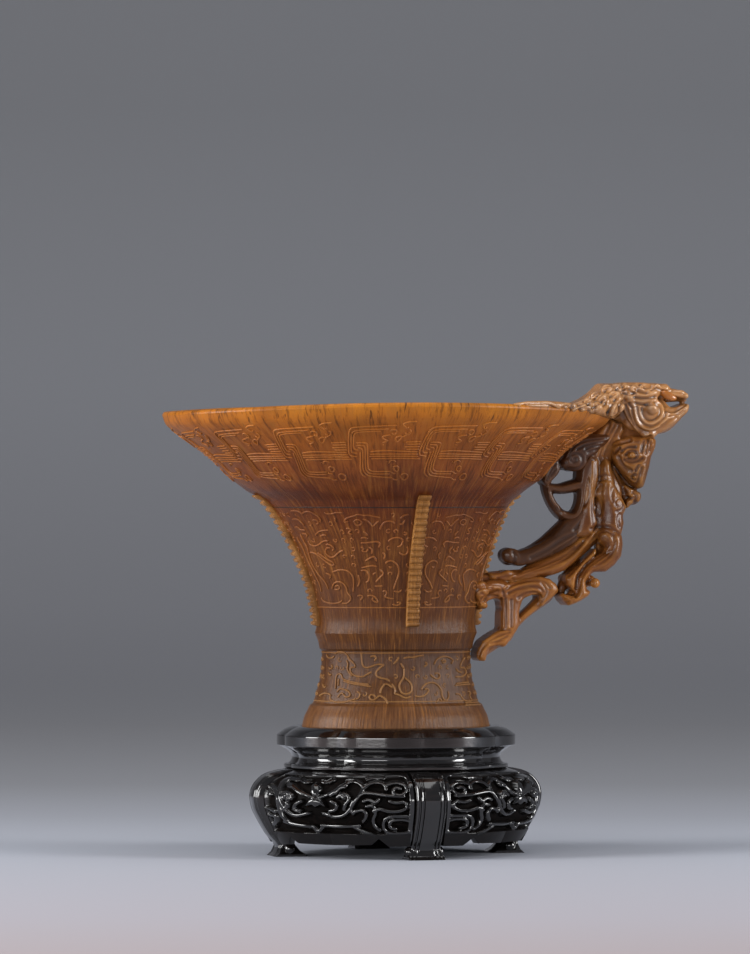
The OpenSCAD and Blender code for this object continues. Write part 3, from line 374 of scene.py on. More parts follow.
# The handle's carving, read off two more views. A form is an outline, drawn as a domed slab in the
# handle's middle plane: its half depth at the middle and at the edge, and the width of its slope.
HIGH_VIEW = (500, 370, 7.84)
LOW_VIEW = (460, 470, 7.84)
FORMS = {
    "rim_dragon_body": [(HIGH_VIEW, 5.6, 3.0, 3.2, [
        (466, 341), (466, 272), (562, 252), (626, 226), (680, 190), (722, 160), (780, 118), (840, 98),
        (946, 96), (946, 322), (818, 354), (722, 346), (562, 341)])],
    "handle_root": [(LOW_VIEW, 5.4, 3.2, 2.4, [
        (62, 1010), (66, 950), (100, 905), (170, 880), (260, 868), (350, 880), (420, 868), (500, 842),
        (600, 828), (680, 848), (730, 890), (752, 945), (700, 1000), (640, 1050), (600, 1085),
        (590, 1020), (590, 985), (530, 985), (470, 1010), (452, 1060), (440, 1120), (440, 1215),
        (420, 1262), (390, 1300), (330, 1388), (250, 1385), (205, 1400), (190, 1440), (176, 1500),
        (130, 1498), (98, 1480), (110, 1400), (150, 1330), (220, 1280), (290, 1240), (290, 1180),
        (296, 1080), (290, 1020), (240, 1010), (190, 1030), (165, 1080), (135, 1102), (100, 1090)])],
    "handle_tail": [(LOW_VIEW, 5.0, 2.6, 2.4, [
        (200, 870), (190, 800), (270, 800), (350, 775), (420, 800), (500, 770), (600, 740), (700, 700),
        (800, 660), (880, 600), (940, 540), (1000, 480), (1050, 470), (1020, 540), (960, 620),
        (880, 720), (800, 790), (700, 830), (600, 830), (500, 842), (420, 868), (350, 880),
        (260, 868)])],
    "handle_branch": [(LOW_VIEW, 4.4, 2.2, 3.0, [
        (302, 665), (320, 625), (360, 605), (405, 608), (440, 628), (520, 605), (620, 560), (700, 500),
        (760, 430), (800, 380), (900, 330), (1000, 330), (1010, 420), (950, 500), (880, 580),
        (780, 640), (650, 700), (540, 740), (440, 760), (370, 735), (320, 715)])],
    "handle_trunk": [
        (HIGH_VIEW, 5.8, 2.4, 4.0, [
            (794, 674), (842, 722), (858, 818), (882, 914), (946, 1010), (974, 1074), (942, 1140),
            (950, 1200), (930, 1290), (914, 1380), (860, 1450), (790, 1440), (754, 1300), (766, 1138),
            (754, 1042), (722, 978), (754, 866), (754, 754)]),
        (HIGH_VIEW, 5.0, 2.8, 2.6, [
            (674, 674), (746, 690), (752, 818), (726, 962), (720, 1090), (740, 1202), (700, 1290),
            (640, 1320), (552, 1310), (584, 1170), (620, 1042), (636, 882), (648, 754)]),
        (HIGH_VIEW, 3.6, 2.0, 3.0, [
            (674, 690), (700, 600), (760, 540), (800, 470), (834, 402), (946, 402), (962, 482), (900, 562),
            (860, 640), (834, 722), (770, 722)])],
    "handle_haunch": [(LOW_VIEW, 7.0, 3.0, 3.6, [
        (1040, 480), (1100, 450), (1180, 465), (1240, 500), (1250, 580), (1235, 680), (1180, 750),
        (1110, 805), (1010, 808), (985, 835), (960, 880), (965, 930), (1000, 945), (980, 990),
        (900, 1040), (820, 1068), (780, 1030), (745, 975), (770, 960), (860, 980), (880, 920),
        (880, 840), (930, 760), (1000, 690), (1080, 640), (1090, 600), (1050, 560)]),
        (LOW_VIEW, 5.6, 3.4, 2.0, [
            (1040, 600), (980, 660), (900, 740), (830, 800), (790, 830), (800, 900), (870, 970),
            (885, 900), (890, 830), (950, 740), (1040, 660)])],
    "lower_dragon_head": [(HIGH_VIEW, 7.2, 2.6, 4.4, [
        (850, 570), (900, 540), (1000, 520), (1120, 520), (1198, 535), (1195, 600), (1160, 680),
        (1145, 760), (1120, 850), (1100, 920), (1062, 942), (1010, 905), (940, 835), (880, 760),
        (850, 700)]),
        (HIGH_VIEW, 4.4, 1.8, 2.6, [
            (930, 880), (980, 905), (1060, 945), (1092, 957), (1090, 1010), (1070, 1043), (1020, 1050),
            (985, 1085), (955, 1110), (960, 1050), (975, 1000), (960, 940)])],
    "handle_leaf": [(HIGH_VIEW, 5.4, 2.4, 3.0, [
        (440, 760), (450, 690), (480, 610), (540, 540), (620, 510), (720, 495), (800, 496), (852, 520),
        (820, 572), (770, 620), (720, 670), (670, 700), (660, 750), (610, 795), (550, 800),
        (490, 790)]),
        (HIGH_VIEW, 4.4, 2.6, 2.0, [
            (470, 615), (430, 640), (360, 690), (310, 770), (288, 825), (310, 890), (345, 925),
            (380, 880), (430, 830), (455, 780), (440, 720), (470, 660)])],
    "rim_dragon_head": [(HIGH_VIEW, 7.6, 2.8, 5.0, [
        (740, 250), (760, 190), (800, 130), (850, 102), (960, 94), (1090, 95), (1180, 101), (1240, 101),
        (1290, 114), (1310, 144), (1400, 149), (1446, 184), (1460, 212), (1444, 236), (1380, 225),
        (1300, 215), (1225, 200), (1215, 225), (1290, 290), (1340, 290), (1400, 262), (1450, 254),
        (1460, 290), (1444, 335), (1388, 390), (1338, 446), (1268, 486), (1200, 512), (1180, 545),
        (1130, 552), (1085, 545), (1060, 500), (1000, 480), (950, 440), (930, 380), (900, 340),
        (820, 330), (770, 290)])]}
# Balls on a view: their middle, radius and half depth in millimetres
BALLS = {
    "handle_root": [(LOW_VIEW, 92, 940, 3.3, 9.6)],
    "handle_haunch": [(LOW_VIEW, 1020, 885, 1.7, 6.0)],
    "handle_branch": [(LOW_VIEW, 365, 670, 2.5, 3.0)],
    "lower_dragon_head": [(HIGH_VIEW, 1030, 668, 1.2, 7.2)],
    "rim_dragon_head": [(HIGH_VIEW, 1262, 132, 1.2, 5.0)]}
# Knobs where a view's sight line meets a skin: place in the view and radius in millimetres. They are
# sunk that share of their radius. The heads carry them on both sides of the handle.
KNOBS = {
    "rim_dragon_body": (HIGH_VIEW, [
        (870, 306, 2.4), (806, 240, 2.2), (760, 296, 1.9), (838, 160, 2.0), (752, 214, 1.8),
        (694, 262, 1.7), (900, 214, 2.2), (916, 148, 1.6), (932, 290, 1.8), (640, 290, 1.5),
        (580, 296, 1.3), (944, 350, 1.6)]),
    "rim_dragon_head": (HIGH_VIEW, [
        (990, 146, 1.3), (1044, 152, 1.3), (1186, 300, 2.2), (1232, 134, 1.0), (1010, 214, 1.6),
        (1110, 142, 1.0)]),
    "lower_dragon_head": (HIGH_VIEW, [(1030, 668, 1.5), (1060, 838, 0.9), (1180, 560, 1.0)])}
KNOB_SUNK = 0.2
# Grooves cut into a form: depth and half width in millimetres, then its lines
GROOVES = {
    "rim_dragon_body": [(HIGH_VIEW, 0.55, 0.55, [
        [(150, 318), (190, 276), (270, 258), (370, 268), (430, 304), (440, 330)],
        [(478, 330), (500, 290), (560, 276)], [(520, 336), (546, 300), (600, 280), (650, 262)],
        [(600, 330), (640, 300), (690, 290), (700, 322), (664, 340)], [(660, 250), (720, 204), (770, 168)],
        [(690, 268), (760, 220), (800, 180), (850, 140)], [(730, 300), (790, 250), (850, 210), (900, 190)],
        [(800, 130), (860, 116), (920, 118)], [(820, 280), (850, 210), (900, 160), (956, 120)],
        [(846, 340), (880, 262), (940, 200)], [(900, 350), (922, 300), (960, 250)]])],
    "handle_root": [(LOW_VIEW, 0.42, 0.5, [
        [(95, 1060), (85, 980), (120, 925), (200, 900), (300, 895), (345, 908)],
        [(250, 925), (190, 915), (130, 940), (108, 990), (140, 1040), (190, 1034), (206, 990), (172, 970)],
        [(140, 1075), (165, 1010), (215, 985), (290, 990)],
        [(356, 940), (420, 895), (500, 872), (600, 860), (670, 880), (704, 925)],
        [(380, 965), (450, 930), (540, 912), (620, 918), (655, 955)],
        [(460, 1000), (520, 962), (600, 958), (640, 1000)],
        [(322, 1010), (325, 1120), (318, 1236)], [(355, 1010), (358, 1236)],
        [(402, 1020), (402, 1226)], [(300, 1246), (388, 1256)], [(330, 905), (346, 992)],
        [(386, 1276), (300, 1300), (220, 1346), (160, 1410), (142, 1474)],
        [(372, 1302), (300, 1346), (240, 1352)], [(640, 880), (690, 960), (640, 1030)]])],
    "handle_tail": [(LOW_VIEW, 0.5, 0.6, [
        [(420, 852), (520, 822), (600, 788), (700, 756), (800, 712), (880, 652), (960, 566)],
        [(430, 836), (520, 800), (620, 762), (720, 722), (820, 672), (900, 610)],
        [(300, 850), (400, 820), (480, 800)]])],
    "handle_branch": [(LOW_VIEW, 0.45, 0.6, [
        [(560, 690), (640, 650), (720, 604), (780, 560), (860, 520), (930, 490)],
        [(740, 650), (820, 600), (900, 546), (960, 470)], [(900, 470), (960, 400), (1000, 350)],
        [(418, 640), (432, 690), (420, 730)]])],
    "handle_trunk": [(HIGH_VIEW, 0.5, 0.6, [
        [(750, 700), (752, 820), (738, 960), (722, 1060), (736, 1180), (744, 1260)],
        [(720, 1244), (800, 1226), (880, 1240), (930, 1290)], [(778, 842), (822, 826), (856, 836)],
        [(786, 866), (830, 850), (862, 860)], [(882, 930), (876, 990), (890, 1030)],
        [(930, 1046), (945, 1036), (950, 1056), (930, 1070), (908, 1055), (905, 1025), (930, 1000),
         (962, 1015), (974, 1050), (958, 1092), (920, 1110)],
        [(690, 860), (704, 940), (690, 1020), (660, 1060)], [(936, 1130), (925, 1180), (936, 1230)],
        [(800, 900), (790, 980), (800, 1060), (784, 1130)],
        [(740, 700), (764, 600), (820, 520), (860, 430)], [(776, 700), (800, 610), (850, 530), (896, 440)],
        [(816, 660), (846, 590), (890, 520), (930, 440)]])],
    "handle_haunch": [(LOW_VIEW, 0.5, 0.6, [
        [(1064, 570), (1080, 500), (1130, 474), (1180, 482), (1205, 520), (1210, 590)],
        [(1216, 560), (1200, 640), (1130, 716), (1040, 765), (985, 800)],
        [(1130, 650), (1050, 700), (980, 760), (922, 840), (904, 930)],
        [(1180, 640), (1090, 700), (1010, 760), (950, 840), (935, 930), (905, 990)],
        [(772, 972), (870, 1000)], [(790, 1004), (880, 1024)], [(820, 1040), (860, 1030)],
        [(1000, 890), (1010, 865), (1040, 870), (1045, 900), (1020, 915), (1004, 900)],
        [(1020, 640), (960, 700), (890, 780), (850, 830)]])],
    "lower_dragon_head": [(HIGH_VIEW, 0.5, 0.55, [
        [(866, 700), (920, 786), (990, 858), (1058, 912), (1084, 860), (1112, 770)],
        [(988, 664), (1006, 636), (1040, 628), (1075, 650), (1080, 686), (1050, 706), (1006, 700)],
        [(975, 705), (1020, 728), (1080, 716), (1118, 694)], [(950, 640), (1000, 604), (1060, 606)],
        [(1036, 836), (1056, 818), (1076, 838), (1056, 862), (1036, 852)], [(1086, 752), (1062, 790)],
        [(1160, 556), (1148, 650)], [(1182, 560), (1172, 636)], [(1130, 560), (1112, 640)],
        [(930, 680), (960, 742), (1010, 790)], [(900, 650), (934, 616)], [(980, 760), (1030, 790)],
        [(1000, 1000), (1040, 1010), (1060, 990)], [(1040, 962), (1070, 990), (1056, 1030)],
        [(880, 600), (940, 570), (1020, 552)]])],
    "handle_leaf": [(HIGH_VIEW, 0.42, 0.5, [
        [(830, 512), (720, 517), (620, 537), (544, 592), (500, 690)],
        [(830, 536), (730, 543), (640, 563), (572, 604), (530, 690)],
        [(830, 562), (740, 570), (660, 590), (604, 622)], [(826, 588), (740, 597), (674, 616)],
        [(820, 614), (746, 624), (694, 644)],
        [(576, 702), (590, 686), (600, 706), (576, 726), (548, 706), (550, 670), (590, 650),
         (636, 668), (652, 715), (630, 760), (580, 780), (530, 770)],
        [(455, 640), (400, 700), (352, 780), (336, 860)], [(440, 724), (400, 784), (368, 860)],
        [(430, 780), (396, 830)]])],
    "handle_ring": [(HIGH_VIEW, 0.35, 0.5, [
        [(362, 930), (372, 1010), (410, 1070), (470, 1120)], [(440, 1080), (500, 1100), (560, 1060)]])],
    "rim_dragon_head": [(HIGH_VIEW, 0.55, 0.6, [
        [(690, 262), (740, 226), (790, 186), (850, 148)], [(712, 300), (770, 262), (822, 232)],
        [(730, 330), (780, 312), (812, 330)], [(880, 350), (916, 322), (940, 282), (930, 240)],
        [(836, 208), (872, 196), (912, 204), (936, 230)],
        [(760, 236), (800, 172), (870, 128), (950, 108)], [(776, 250), (822, 188), (890, 144), (962, 128)],
        [(796, 258), (850, 204), (922, 164), (1004, 152)],
        [(1075, 290), (1090, 390), (1140, 440), (1200, 446), (1268, 406), (1306, 345), (1300, 270),
         (1254, 222)],
        [(1112, 300), (1122, 366), (1160, 396), (1204, 394), (1244, 366), (1262, 322), (1250, 280),
         (1214, 262)],
        [(1035, 320), (1050, 420), (1110, 482), (1190, 492), (1260, 462), (1334, 388)],
        [(945, 280), (975, 370), (1026, 440), (1062, 500), (1090, 536), (1140, 548), (1180, 520)],
        [(986, 280), (1010, 360), (1046, 430)], [(1010, 270), (1036, 300)],
        [(1066, 262), (1130, 276), (1210, 262)], [(1060, 214), (1120, 224), (1210, 212)],
        [(1300, 304), (1350, 332), (1402, 304), (1450, 268)], [(1330, 356), (1380, 356), (1436, 316)],
        [(1330, 162), (1370, 172), (1440, 192)], [(1240, 150), (1280, 166), (1330, 176)],
        [(1100, 112), (1122, 142), (1184, 132)], [(1190, 152), (1226, 140)],
        [(820, 262), (850, 250), (900, 250), (930, 290), (910, 350)], [(960, 180), (1010, 190), (1060, 180)],
        [(1270, 440), (1320, 400), (1380, 366)], [(1060, 150), (1090, 170), (1150, 180)]])]}
# Cells of a slab's grid and of a skin, in millimetres
SLAB_CELL = 0.4
CARVE_VOXEL = 0.3
# Smoothing rounds of the carved skins
CARVE_ROUNDS = {
    "rim_dragon_body": 40, "rim_dragon_head": 28, "handle_trunk": 22, "handle_branch": 22,
    "handle_haunch": 16}
CARVE_ROUNDS_ELSE = 13
KNOB_ROUNDS = 4
TONGUE_ROUNDS = 6
# The share of its depth that a node's copy keeps under its forms
DEPTH_SHARE = {
    "handle_leaf": 0.6, "handle_trunk": 0.5, "handle_branch": 0.8, "handle_haunch": 0.55,
    "handle_tail": 0.85, "lower_dragon_head": 0.5, "rim_dragon_head": 0.6}
# The share of their depth at which a node's grooves are cut
GROOVE_SHARE = {
    "handle_trunk": 0.5, "handle_branch": 0.55, "handle_haunch": 0.6, "handle_tail": 0.6,
    "lower_dragon_head": 0.85, "handle_root": 0.75, "handle_leaf": 0.6}
# A groove fades on faces that turn from the handle's plane, with this gain. It throws up a low edge on
# each side: the edge's share of the depth, and its way out and its reach in half widths.
GROOVE_FACING = 2.2
GROOVE_EDGE = (0.25, 2, 0.8)
# Step of a groove's points, and how far round them its skin is searched, in a view's pixels
GROOVE_STEP = 12
GROOVE_SEARCH = 60
# How many rounds smooth the surroundings that the carving's painted shade and highlight are measured
# against, and its gain
PAINTED_SHADING_SPREAD = (14, 1.3)
TONGUE = (HIGH_VIEW, 7.0, 5.3, 1.6, [
    (1200, 170), (1240, 152), (1290, 168), (1330, 200), (1352, 226), (1330, 246), (1290, 250),
    (1250, 226)])
# Angles in degrees of the edges above which shading stays sharp
ALL_SMOOTH = 180
CREASES = {"cup": 18, "moulding": 30, "leg": 34, "flange": 38, "apron": 60}
# Corners nearer than this many metres are one
MERGED = 1e-6

# Grain of the horn: it runs up the cup, laid on one radius and stretched by this factor. Each noise has
# its waves a millimetre as its scale.
GRAIN_RADIUS = 30.0
GRAIN_RISE = 0.1
FIBRE_NOISE = {"Scale": 1.35, "Detail": 5.0, "Roughness": 0.72}
BAND_NOISE = {"Scale": 0.2, "Detail": 2.0, "Roughness": 0.5}
PORE_NOISE = {"Scale": 2.1, "Detail": 2.0, "Roughness": 0.5}
BLOTCH_NOISE = {"Scale": 0.05, "Detail": 3.0, "Roughness": 0.6}
# The middle of a noise, and then where on its noise each mark begins and where it is full
MIDDLE_RANGE = (0.3, 0.7)
DARK_FIBRE = (0.5, 0.65)
LIGHT_FIBRE = (0.48, 0.33)
PORE_RANGE = (0.64, 0.7)
BLOTCH_RANGE = (0.42, 0.62)
BLOTCH_DEPTH = 0.3
# How far the colours' heights wander, in millimetres
BAND_WAVE = 2.0
# Pores show more towards the lip: height shares, and how much of them shows there
PORE_FADE = (0.8, 1.0, 0.25, 0.8)
# Painted light on carving: where on its attribute the edges lighten as painted highlight and the depths
# darken as painted shade, and how far they do
PAINTED_EDGE_HIGHLIGHT = (0.5, 0.95, 0, 0.6)
PAINTED_DEPTH_SHADE = (0.5, 0.12, 0, 0.92)
HORN_IOR = 1.54
# A bump, whose distance is in metres
HORN_BUMP = {"Strength": 0.4, "Distance": 0.0005}
# Grain of the wood, longer along the stand, its colours and its wax
WOOD_STRETCH = (0.12, 1, 1)
WOOD_NOISE = {"Scale": 1.1, "Detail": 4.0, "Roughness": 0.6}
WOOD_COLOURS = [(0, "#090807"), (0.6, "#0e0b0a"), (1, "#181210")]
WOOD_ROUGH = (0.09, 0.18)
WOOD_SPECULAR = 0.45
WOOD_COAT = 0.8
WOOD_COAT_ROUGH = 0.08
WOOD_COAT_IOR = 1.6
WOOD_BUMP = {"Strength": 0.1, "Distance": 0.0002}
# Sunk grounds: how rough they are, and how the carving's gloss and coat rise with the attribute raised
SUNK_ROUGH = 0.5
SUNK_SPECULAR = (0.1, 0.8, 0.03, 0.5)
SUNK_COAT = (0.4, 0.9)

# The studio. The sweep's rows are a way off along the sight and a height, in millimetres.
SWEEP_ROWS = [
    (-6000, 0), (-900, 0), (1100, 0), (1500, 40), (1800, 160), (2000, 400), (2100, 800), (2150, 2600)]
SWEEP_HALF = 4200
SWEEP_ROUNDS = 4
# Floor and wall colours, by way off and height in metres. Besides the paper's grey they hold painted light:
# lighter in front of the cup and darker behind it and up the wall, with a pinkish painted reflection nearest
# the eye.
FLOOR_REACH = (-0.5, 1.2)
FLOOR_COLOURS_AND_PAINTED_LIGHT = [
    (0, "#b8abac"), (0.12, "#b7b3ba"), (0.3, "#b4b8c2"), (0.42, "#a3a5ad"), (0.55, "#97989d"),
    (0.8, "#98989c"), (1, "#96979b")]
WALL_REACH = (0, 0.35)
WALL_COLOURS_AND_PAINTED_LIGHT = [(0, "#a0a0a5"), (0.5, "#9c9da2"), (1, "#8e8f93")]
WALL_BEGINS = (0.9, 1.3)
# Lamps: name, ways aside and off, height, width and length in millimetres, and power in watts
LAMPS = [
    ("overhead lamp", 0, -250, 1300, 1100, 900, 5.5),
    ("left lamp", -1150, -450, 420, 500, 800, 17),
    ("right lamp", 1250, -350, 380, 400, 700, 14),
    ("front lamp", -700, -2000, 160, 1600, 600, 24)]
LAMP_AIM_Z = 90
SKY_COLOUR = "#c8ccd6"
SKY_STRENGTH = 0.3
CLIP_END = 20


def linear(colour):
    """An sRGB hex value as the linear colour that a socket takes."""
    parts = [int(colour[i:i + 2], 16) / 255 for i in (1, 3, 5)]
    return [c / 12.92 if c <= 0.04045 else ((c + 0.055) / 1.055) ** 2.4 for c in parts] + [1]


def put(tree, kind, sockets=(), stops=(), **settings):
    """Adds a node with its own settings. Its sockets are given in order or by name, each a value or a
    link, and a node given to a socket is linked by its first output. A colour ramp has stops, each a
    place and an sRGB hex colour."""
    made = tree.nodes.new("ShaderNode" + kind)
    for key, value in settings.items():
        setattr(made, key, value)
    for key, value in sockets.items() if isinstance(sockets, dict) else enumerate(sockets):
        if isinstance(value, bpy.types.Node):
            value = value.outputs[0]
        if isinstance(value, bpy.types.NodeSocket):
            tree.links.new(value, made.inputs[key])
        else:
            made.inputs[key].default_value = value
    bar = made.color_ramp.elements if stops else []
    while len(bar) < len(stops):
        bar.new(0.5)
    for spot, (place, colour) in zip(bar, stops):
        spot.position = place
        spot.color = linear(colour)
    return made


def new_finish(name):
    """An empty material with its tree and Object coordinates in millimetres about the axis."""
    finish = bpy.data.materials.new(name)
    finish.use_nodes = True
    tree = finish.node_tree
    tree.nodes.clear()
    at = put(tree, "TexCoord").outputs["Object"]
    centred = put(tree, "Mapping", {
        "Vector": at, "Location": (-axis_x, 0, 0), "Scale": (1 / MM, 1 / MM, 1 / MM)})
    return finish, tree, centred.outputs["Vector"]


def round_the_axis(tree, place, radius, rise):
    """Coordinates for a grain that runs up the cup: its ways round are laid on one radius."""
    level = put(tree, "VectorMath", [place, (1, 1, 0)], operation="MULTIPLY")
    way = put(tree, "VectorMath", [level], operation="NORMALIZE")
    wide = put(tree, "VectorMath", [way, (radius, radius, radius)], operation="MULTIPLY")
    tall = put(tree, "VectorMath", [place, (0, 0, rise)], operation="MULTIPLY")
    return put(tree, "VectorMath", [wide, tall], operation="ADD")


def polished_horn(name, height_colours, edge, recess, painted_shading=False, rough=(0.26, 0.4), gloss=0.2,
                  fibres=(0.66, 0.54)):
    """Horn, carved and polished: a fibrous amber to brown body with a satin gloss. Its fibres are two
    shares, of the dark ones and of the light ones, and its roughness a range. With painted shading, an
    attribute of the carving's shape paints shade dark in its depths and a highlight light along its edges."""
    finish, tree, place = new_finish(name)
    edge, recess = linear(edge), linear(recess)
    grain_at = round_the_axis(tree, place, GRAIN_RADIUS, GRAIN_RISE)
    fine, broad, pores, blotch = [
        put(tree, "TexNoise", {"Vector": at, **noise}) for at, noise in (
            (grain_at, FIBRE_NOISE), (grain_at, BAND_NOISE), (grain_at, PORE_NOISE), (place, BLOTCH_NOISE))]
    height = put(tree, "SeparateXYZ", [place]).outputs["Z"]
    wander = put(tree, "MapRange", [broad, *MIDDLE_RANGE, -BAND_WAVE, BAND_WAVE])
    rise = put(tree, "Math", [height, wander], operation="ADD")
    share = put(tree, "MapRange", [rise, CUP_Z, CUP_Z + CUP_H])
    colour = put(tree, "ValToRGB", [share], height_colours)
    pores_shown = put(tree, "MapRange", [share, *PORE_FADE])
    # Each layer is a colour, the value that shows it, where on the value it begins and is full, and how
    # much of it there is at these two
    layers = [
        (recess, fine, *DARK_FIBRE, 0, fibres[0]), (edge, fine, *LIGHT_FIBRE, 0, fibres[1]),
        (recess, pores, *PORE_RANGE, 0, pores_shown), (recess, blotch, *BLOTCH_RANGE, 0, BLOTCH_DEPTH)]
    # The carving's depths get painted shade and its edges a painted highlight, from an attribute of its
    # shape
    if painted_shading:
        painted_shade_and_highlight = put(tree, "Attribute", attribute_name="painted_shade_and_highlight").outputs["Fac"]
        layers += [(edge, painted_shade_and_highlight, *PAINTED_EDGE_HIGHLIGHT), (recess, painted_shade_and_highlight, *PAINTED_DEPTH_SHADE)]
    for layer, *where in layers:
        colour = put(tree, "Mix", {0: put(tree, "MapRange", where), 6: colour, 7: layer},
                     data_type="RGBA").outputs[2]
    shader = put(tree, "BsdfPrincipled", {
        "Base Color": colour, "Roughness": put(tree, "MapRange", [blotch, *MIDDLE_RANGE, *rough]),
        "IOR": HORN_IOR, "Specular IOR Level": gloss,
        "Normal": put(tree, "Bump", {"Height": fine, **HORN_BUMP})})
    put(tree, "OutputMaterial", {"Surface": shader})
    return finish


def polished_blackwood(name, sunk=False):
    """Dark hardwood, carved, oiled and waxed: nearly black, with a clear gloss over fine pores. Where it
    has sunk grounds, its attribute raised tells them from the carving: they are dull and darker."""
    finish, tree, place = new_finish(name)
    stretched = put(tree, "VectorMath", [place, WOOD_STRETCH], operation="MULTIPLY")
    grain = put(tree, "TexNoise", {"Vector": stretched, **WOOD_NOISE})
    shade = put(tree, "MapRange", [grain, *MIDDLE_RANGE])
    rough = put(tree, "MapRange", [grain, *MIDDLE_RANGE, *WOOD_ROUGH])
    specular, coat = WOOD_SPECULAR, WOOD_COAT
    if sunk:
        raised = put(tree, "Attribute", attribute_name="raised").outputs["Fac"]
        dull = put(tree, "Math", [raised, -SUNK_ROUGH, SUNK_ROUGH], operation="MULTIPLY_ADD", use_clamp=True)
        rough = put(tree, "Math", [rough, dull], operation="MAXIMUM")
        specular = put(tree, "MapRange", [raised, *SUNK_SPECULAR])
        coat = put(tree, "MapRange", [raised, *SUNK_COAT, 0, WOOD_COAT])
    shader = put(tree, "BsdfPrincipled", {
        "Base Color": put(tree, "ValToRGB", [shade], WOOD_COLOURS), "Roughness": rough,
        "Specular IOR Level": specular, "Coat Weight": coat, "Coat Roughness": WOOD_COAT_ROUGH,
        "Coat IOR": WOOD_COAT_IOR, "Normal": put(tree, "Bump", {"Height": grain, **WOOD_BUMP})})
    put(tree, "OutputMaterial", {"Surface": shader})
    return finish


def deselect():
    """Nothing is selected or active in object mode."""
    bpy.ops.object.select_all(action="DESELECT")
    bpy.context.view_layer.objects.active = None


def pick(piece):
    """Only this object is selected and active."""
    deselect()
    piece.select_set(True)
    bpy.context.view_layer.objects.active = piece


def dress(piece, finish, body, nodes=()):
    """Gives a piece its finish, its body and the CAD nodes that it stands for."""
    piece.data.materials.clear()
    piece.data.materials.append(finish)
    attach(piece, body)
    if nodes:
        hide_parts(*nodes)


def round_off(piece, degrees=ALL_SMOOTH):
    """Smooth shading, with edges sharper than that kept."""
    pick(piece)
    bpy.ops.object.shade_smooth_by_angle(angle=math.radians(degrees))


def on_all(piece, operator, **settings):
    """Runs a mesh operator on all of a piece."""
    pick(piece)
    bpy.ops.object.mode_set(mode="EDIT")
    bpy.ops.mesh.select_all(action="SELECT")
    operator(**settings)
    bpy.ops.object.mode_set(mode="OBJECT")


def apply(piece, kind, **settings):
    """Adds a modifier with its settings and applies it."""
    pick(piece)
    modifier = piece.modifiers.new(kind, kind)
    for key, value in settings.items():
        setattr(modifier, key, value)
    bpy.ops.object.modifier_apply(modifier=modifier.name)


def bevelled(piece, width, degrees):
    """Rounds the edges of a piece that are sharper than that."""
    apply(piece, "BEVEL", width=width * MM, segments=2, limit_method="ANGLE",
          angle_limit=math.radians(degrees))


def skin(piece, rounds):
    """Turns a piece into one smooth skin."""
    apply(piece, "REMESH", mode="VOXEL", voxel_size=CARVE_VOXEL * MM)
    apply(piece, "SMOOTH", factor=0.5, iterations=rounds)


def in_metres(places):
    """Places in millimetres about the axis as metres in the frame."""
    moved = np.array(places, dtype=float)
    moved[:, 0] += axis_x
    return moved * MM


def in_millimetres(piece):
    """A mesh's vertex places in millimetres about the axis."""
    flat = np.empty(len(piece.data.vertices) * 3)
    piece.data.vertices.foreach_get("co", flat)
    places = flat.reshape(-1, 3) / MM
    places[:, 0] -= axis_x
    return places


def normals_of(piece):
    """A mesh's vertex normals."""
    flat = np.empty(len(piece.data.vertices) * 3)
    piece.data.vertices.foreach_get("normal", flat)
    return flat.reshape(-1, 3)


def write_shares(piece, name, values):
    """Writes a share of 0 to 1 for each vertex as an attribute."""
    piece.data.attributes.new(name, "FLOAT", "POINT").data.foreach_set(
        "value", np.clip(values, 0, 1).astype(np.float32))


def new_piece(name, places, faces):
    """One loose mesh object from places in millimetres and faces."""
    mesh = bpy.data.meshes.new(name)
    mesh.from_pydata([tuple(p) for p in in_metres(places)], [], faces)
    piece = bpy.data.objects.new(name, mesh)
    bpy.context.collection.objects.link(piece)
    return piece


def piece_of(name, parts):
    """One loose mesh object of several sets of places and faces, without its loose corners."""
    places, faces = [], []
    for own, own_faces in parts:
        faces += [tuple(i + len(places) for i in f) for f in own_faces]
        places += list(own)
    piece = new_piece(name, places, faces)
    on_all(piece, bpy.ops.mesh.delete_loose)
    return piece


def joined(piece, parts):
    """Adds sets of places and faces to a piece."""
    more = piece_of("more", parts)
    deselect()
    more.select_set(True)
    piece.select_set(True)
    bpy.context.view_layer.objects.active = piece
    bpy.ops.object.join()


def ball(primitive, radius, **settings):
    """Places and faces of a ball, from one of the mesh library's primitives."""
    form = bmesh.new()
    primitive(form, radius=radius, **settings)
    places = np.array([tuple(v.co) for v in form.verts])
    faces = [tuple(v.index for v in f.verts) for f in form.faces]
    form.free()
    return places, faces


def move_to(piece, places):
    """Puts a mesh's vertices at places in millimetres about the axis."""
    piece.data.vertices.foreach_set("co", in_metres(places).ravel())
    piece.data.update()


def raise_rings(name, rings):
    """A circle primitive that is extruded from ring to ring and closed at both ends."""
    rings = [in_metres(r) for r in rings]
    deselect()
    bpy.ops.mesh.primitive_circle_add(vertices=len(rings[0]), radius=1, fill_type="NGON")
    piece = bpy.context.object
    piece.name = name
    piece.data.name = name
    for vertex, place in zip(piece.data.vertices, rings[0]):
        vertex.co = place
    bpy.ops.object.mode_set(mode="EDIT")
    bpy.ops.mesh.select_all(action="SELECT")
    form = bmesh.from_edit_mesh(piece.data)
    where = {tuple(v.co): i for i, v in enumerate(form.verts)}
    for ring in rings[1:]:
        bpy.ops.mesh.extrude_region_move()
        form = bmesh.from_edit_mesh(piece.data)
        top = [v for v in form.verts if v.select]
        order = {v: where[tuple(v.co)] for v in top}
        for v in top:
            v.co = ring[order[v]]
        where = {tuple(v.co): order[v] for v in top}
        bmesh.update_edit_mesh(piece.data)
    bpy.ops.mesh.select_all(action="SELECT")
    bpy.ops.mesh.normals_make_consistent(inside=False)
    bpy.ops.object.mode_set(mode="OBJECT")
    return piece


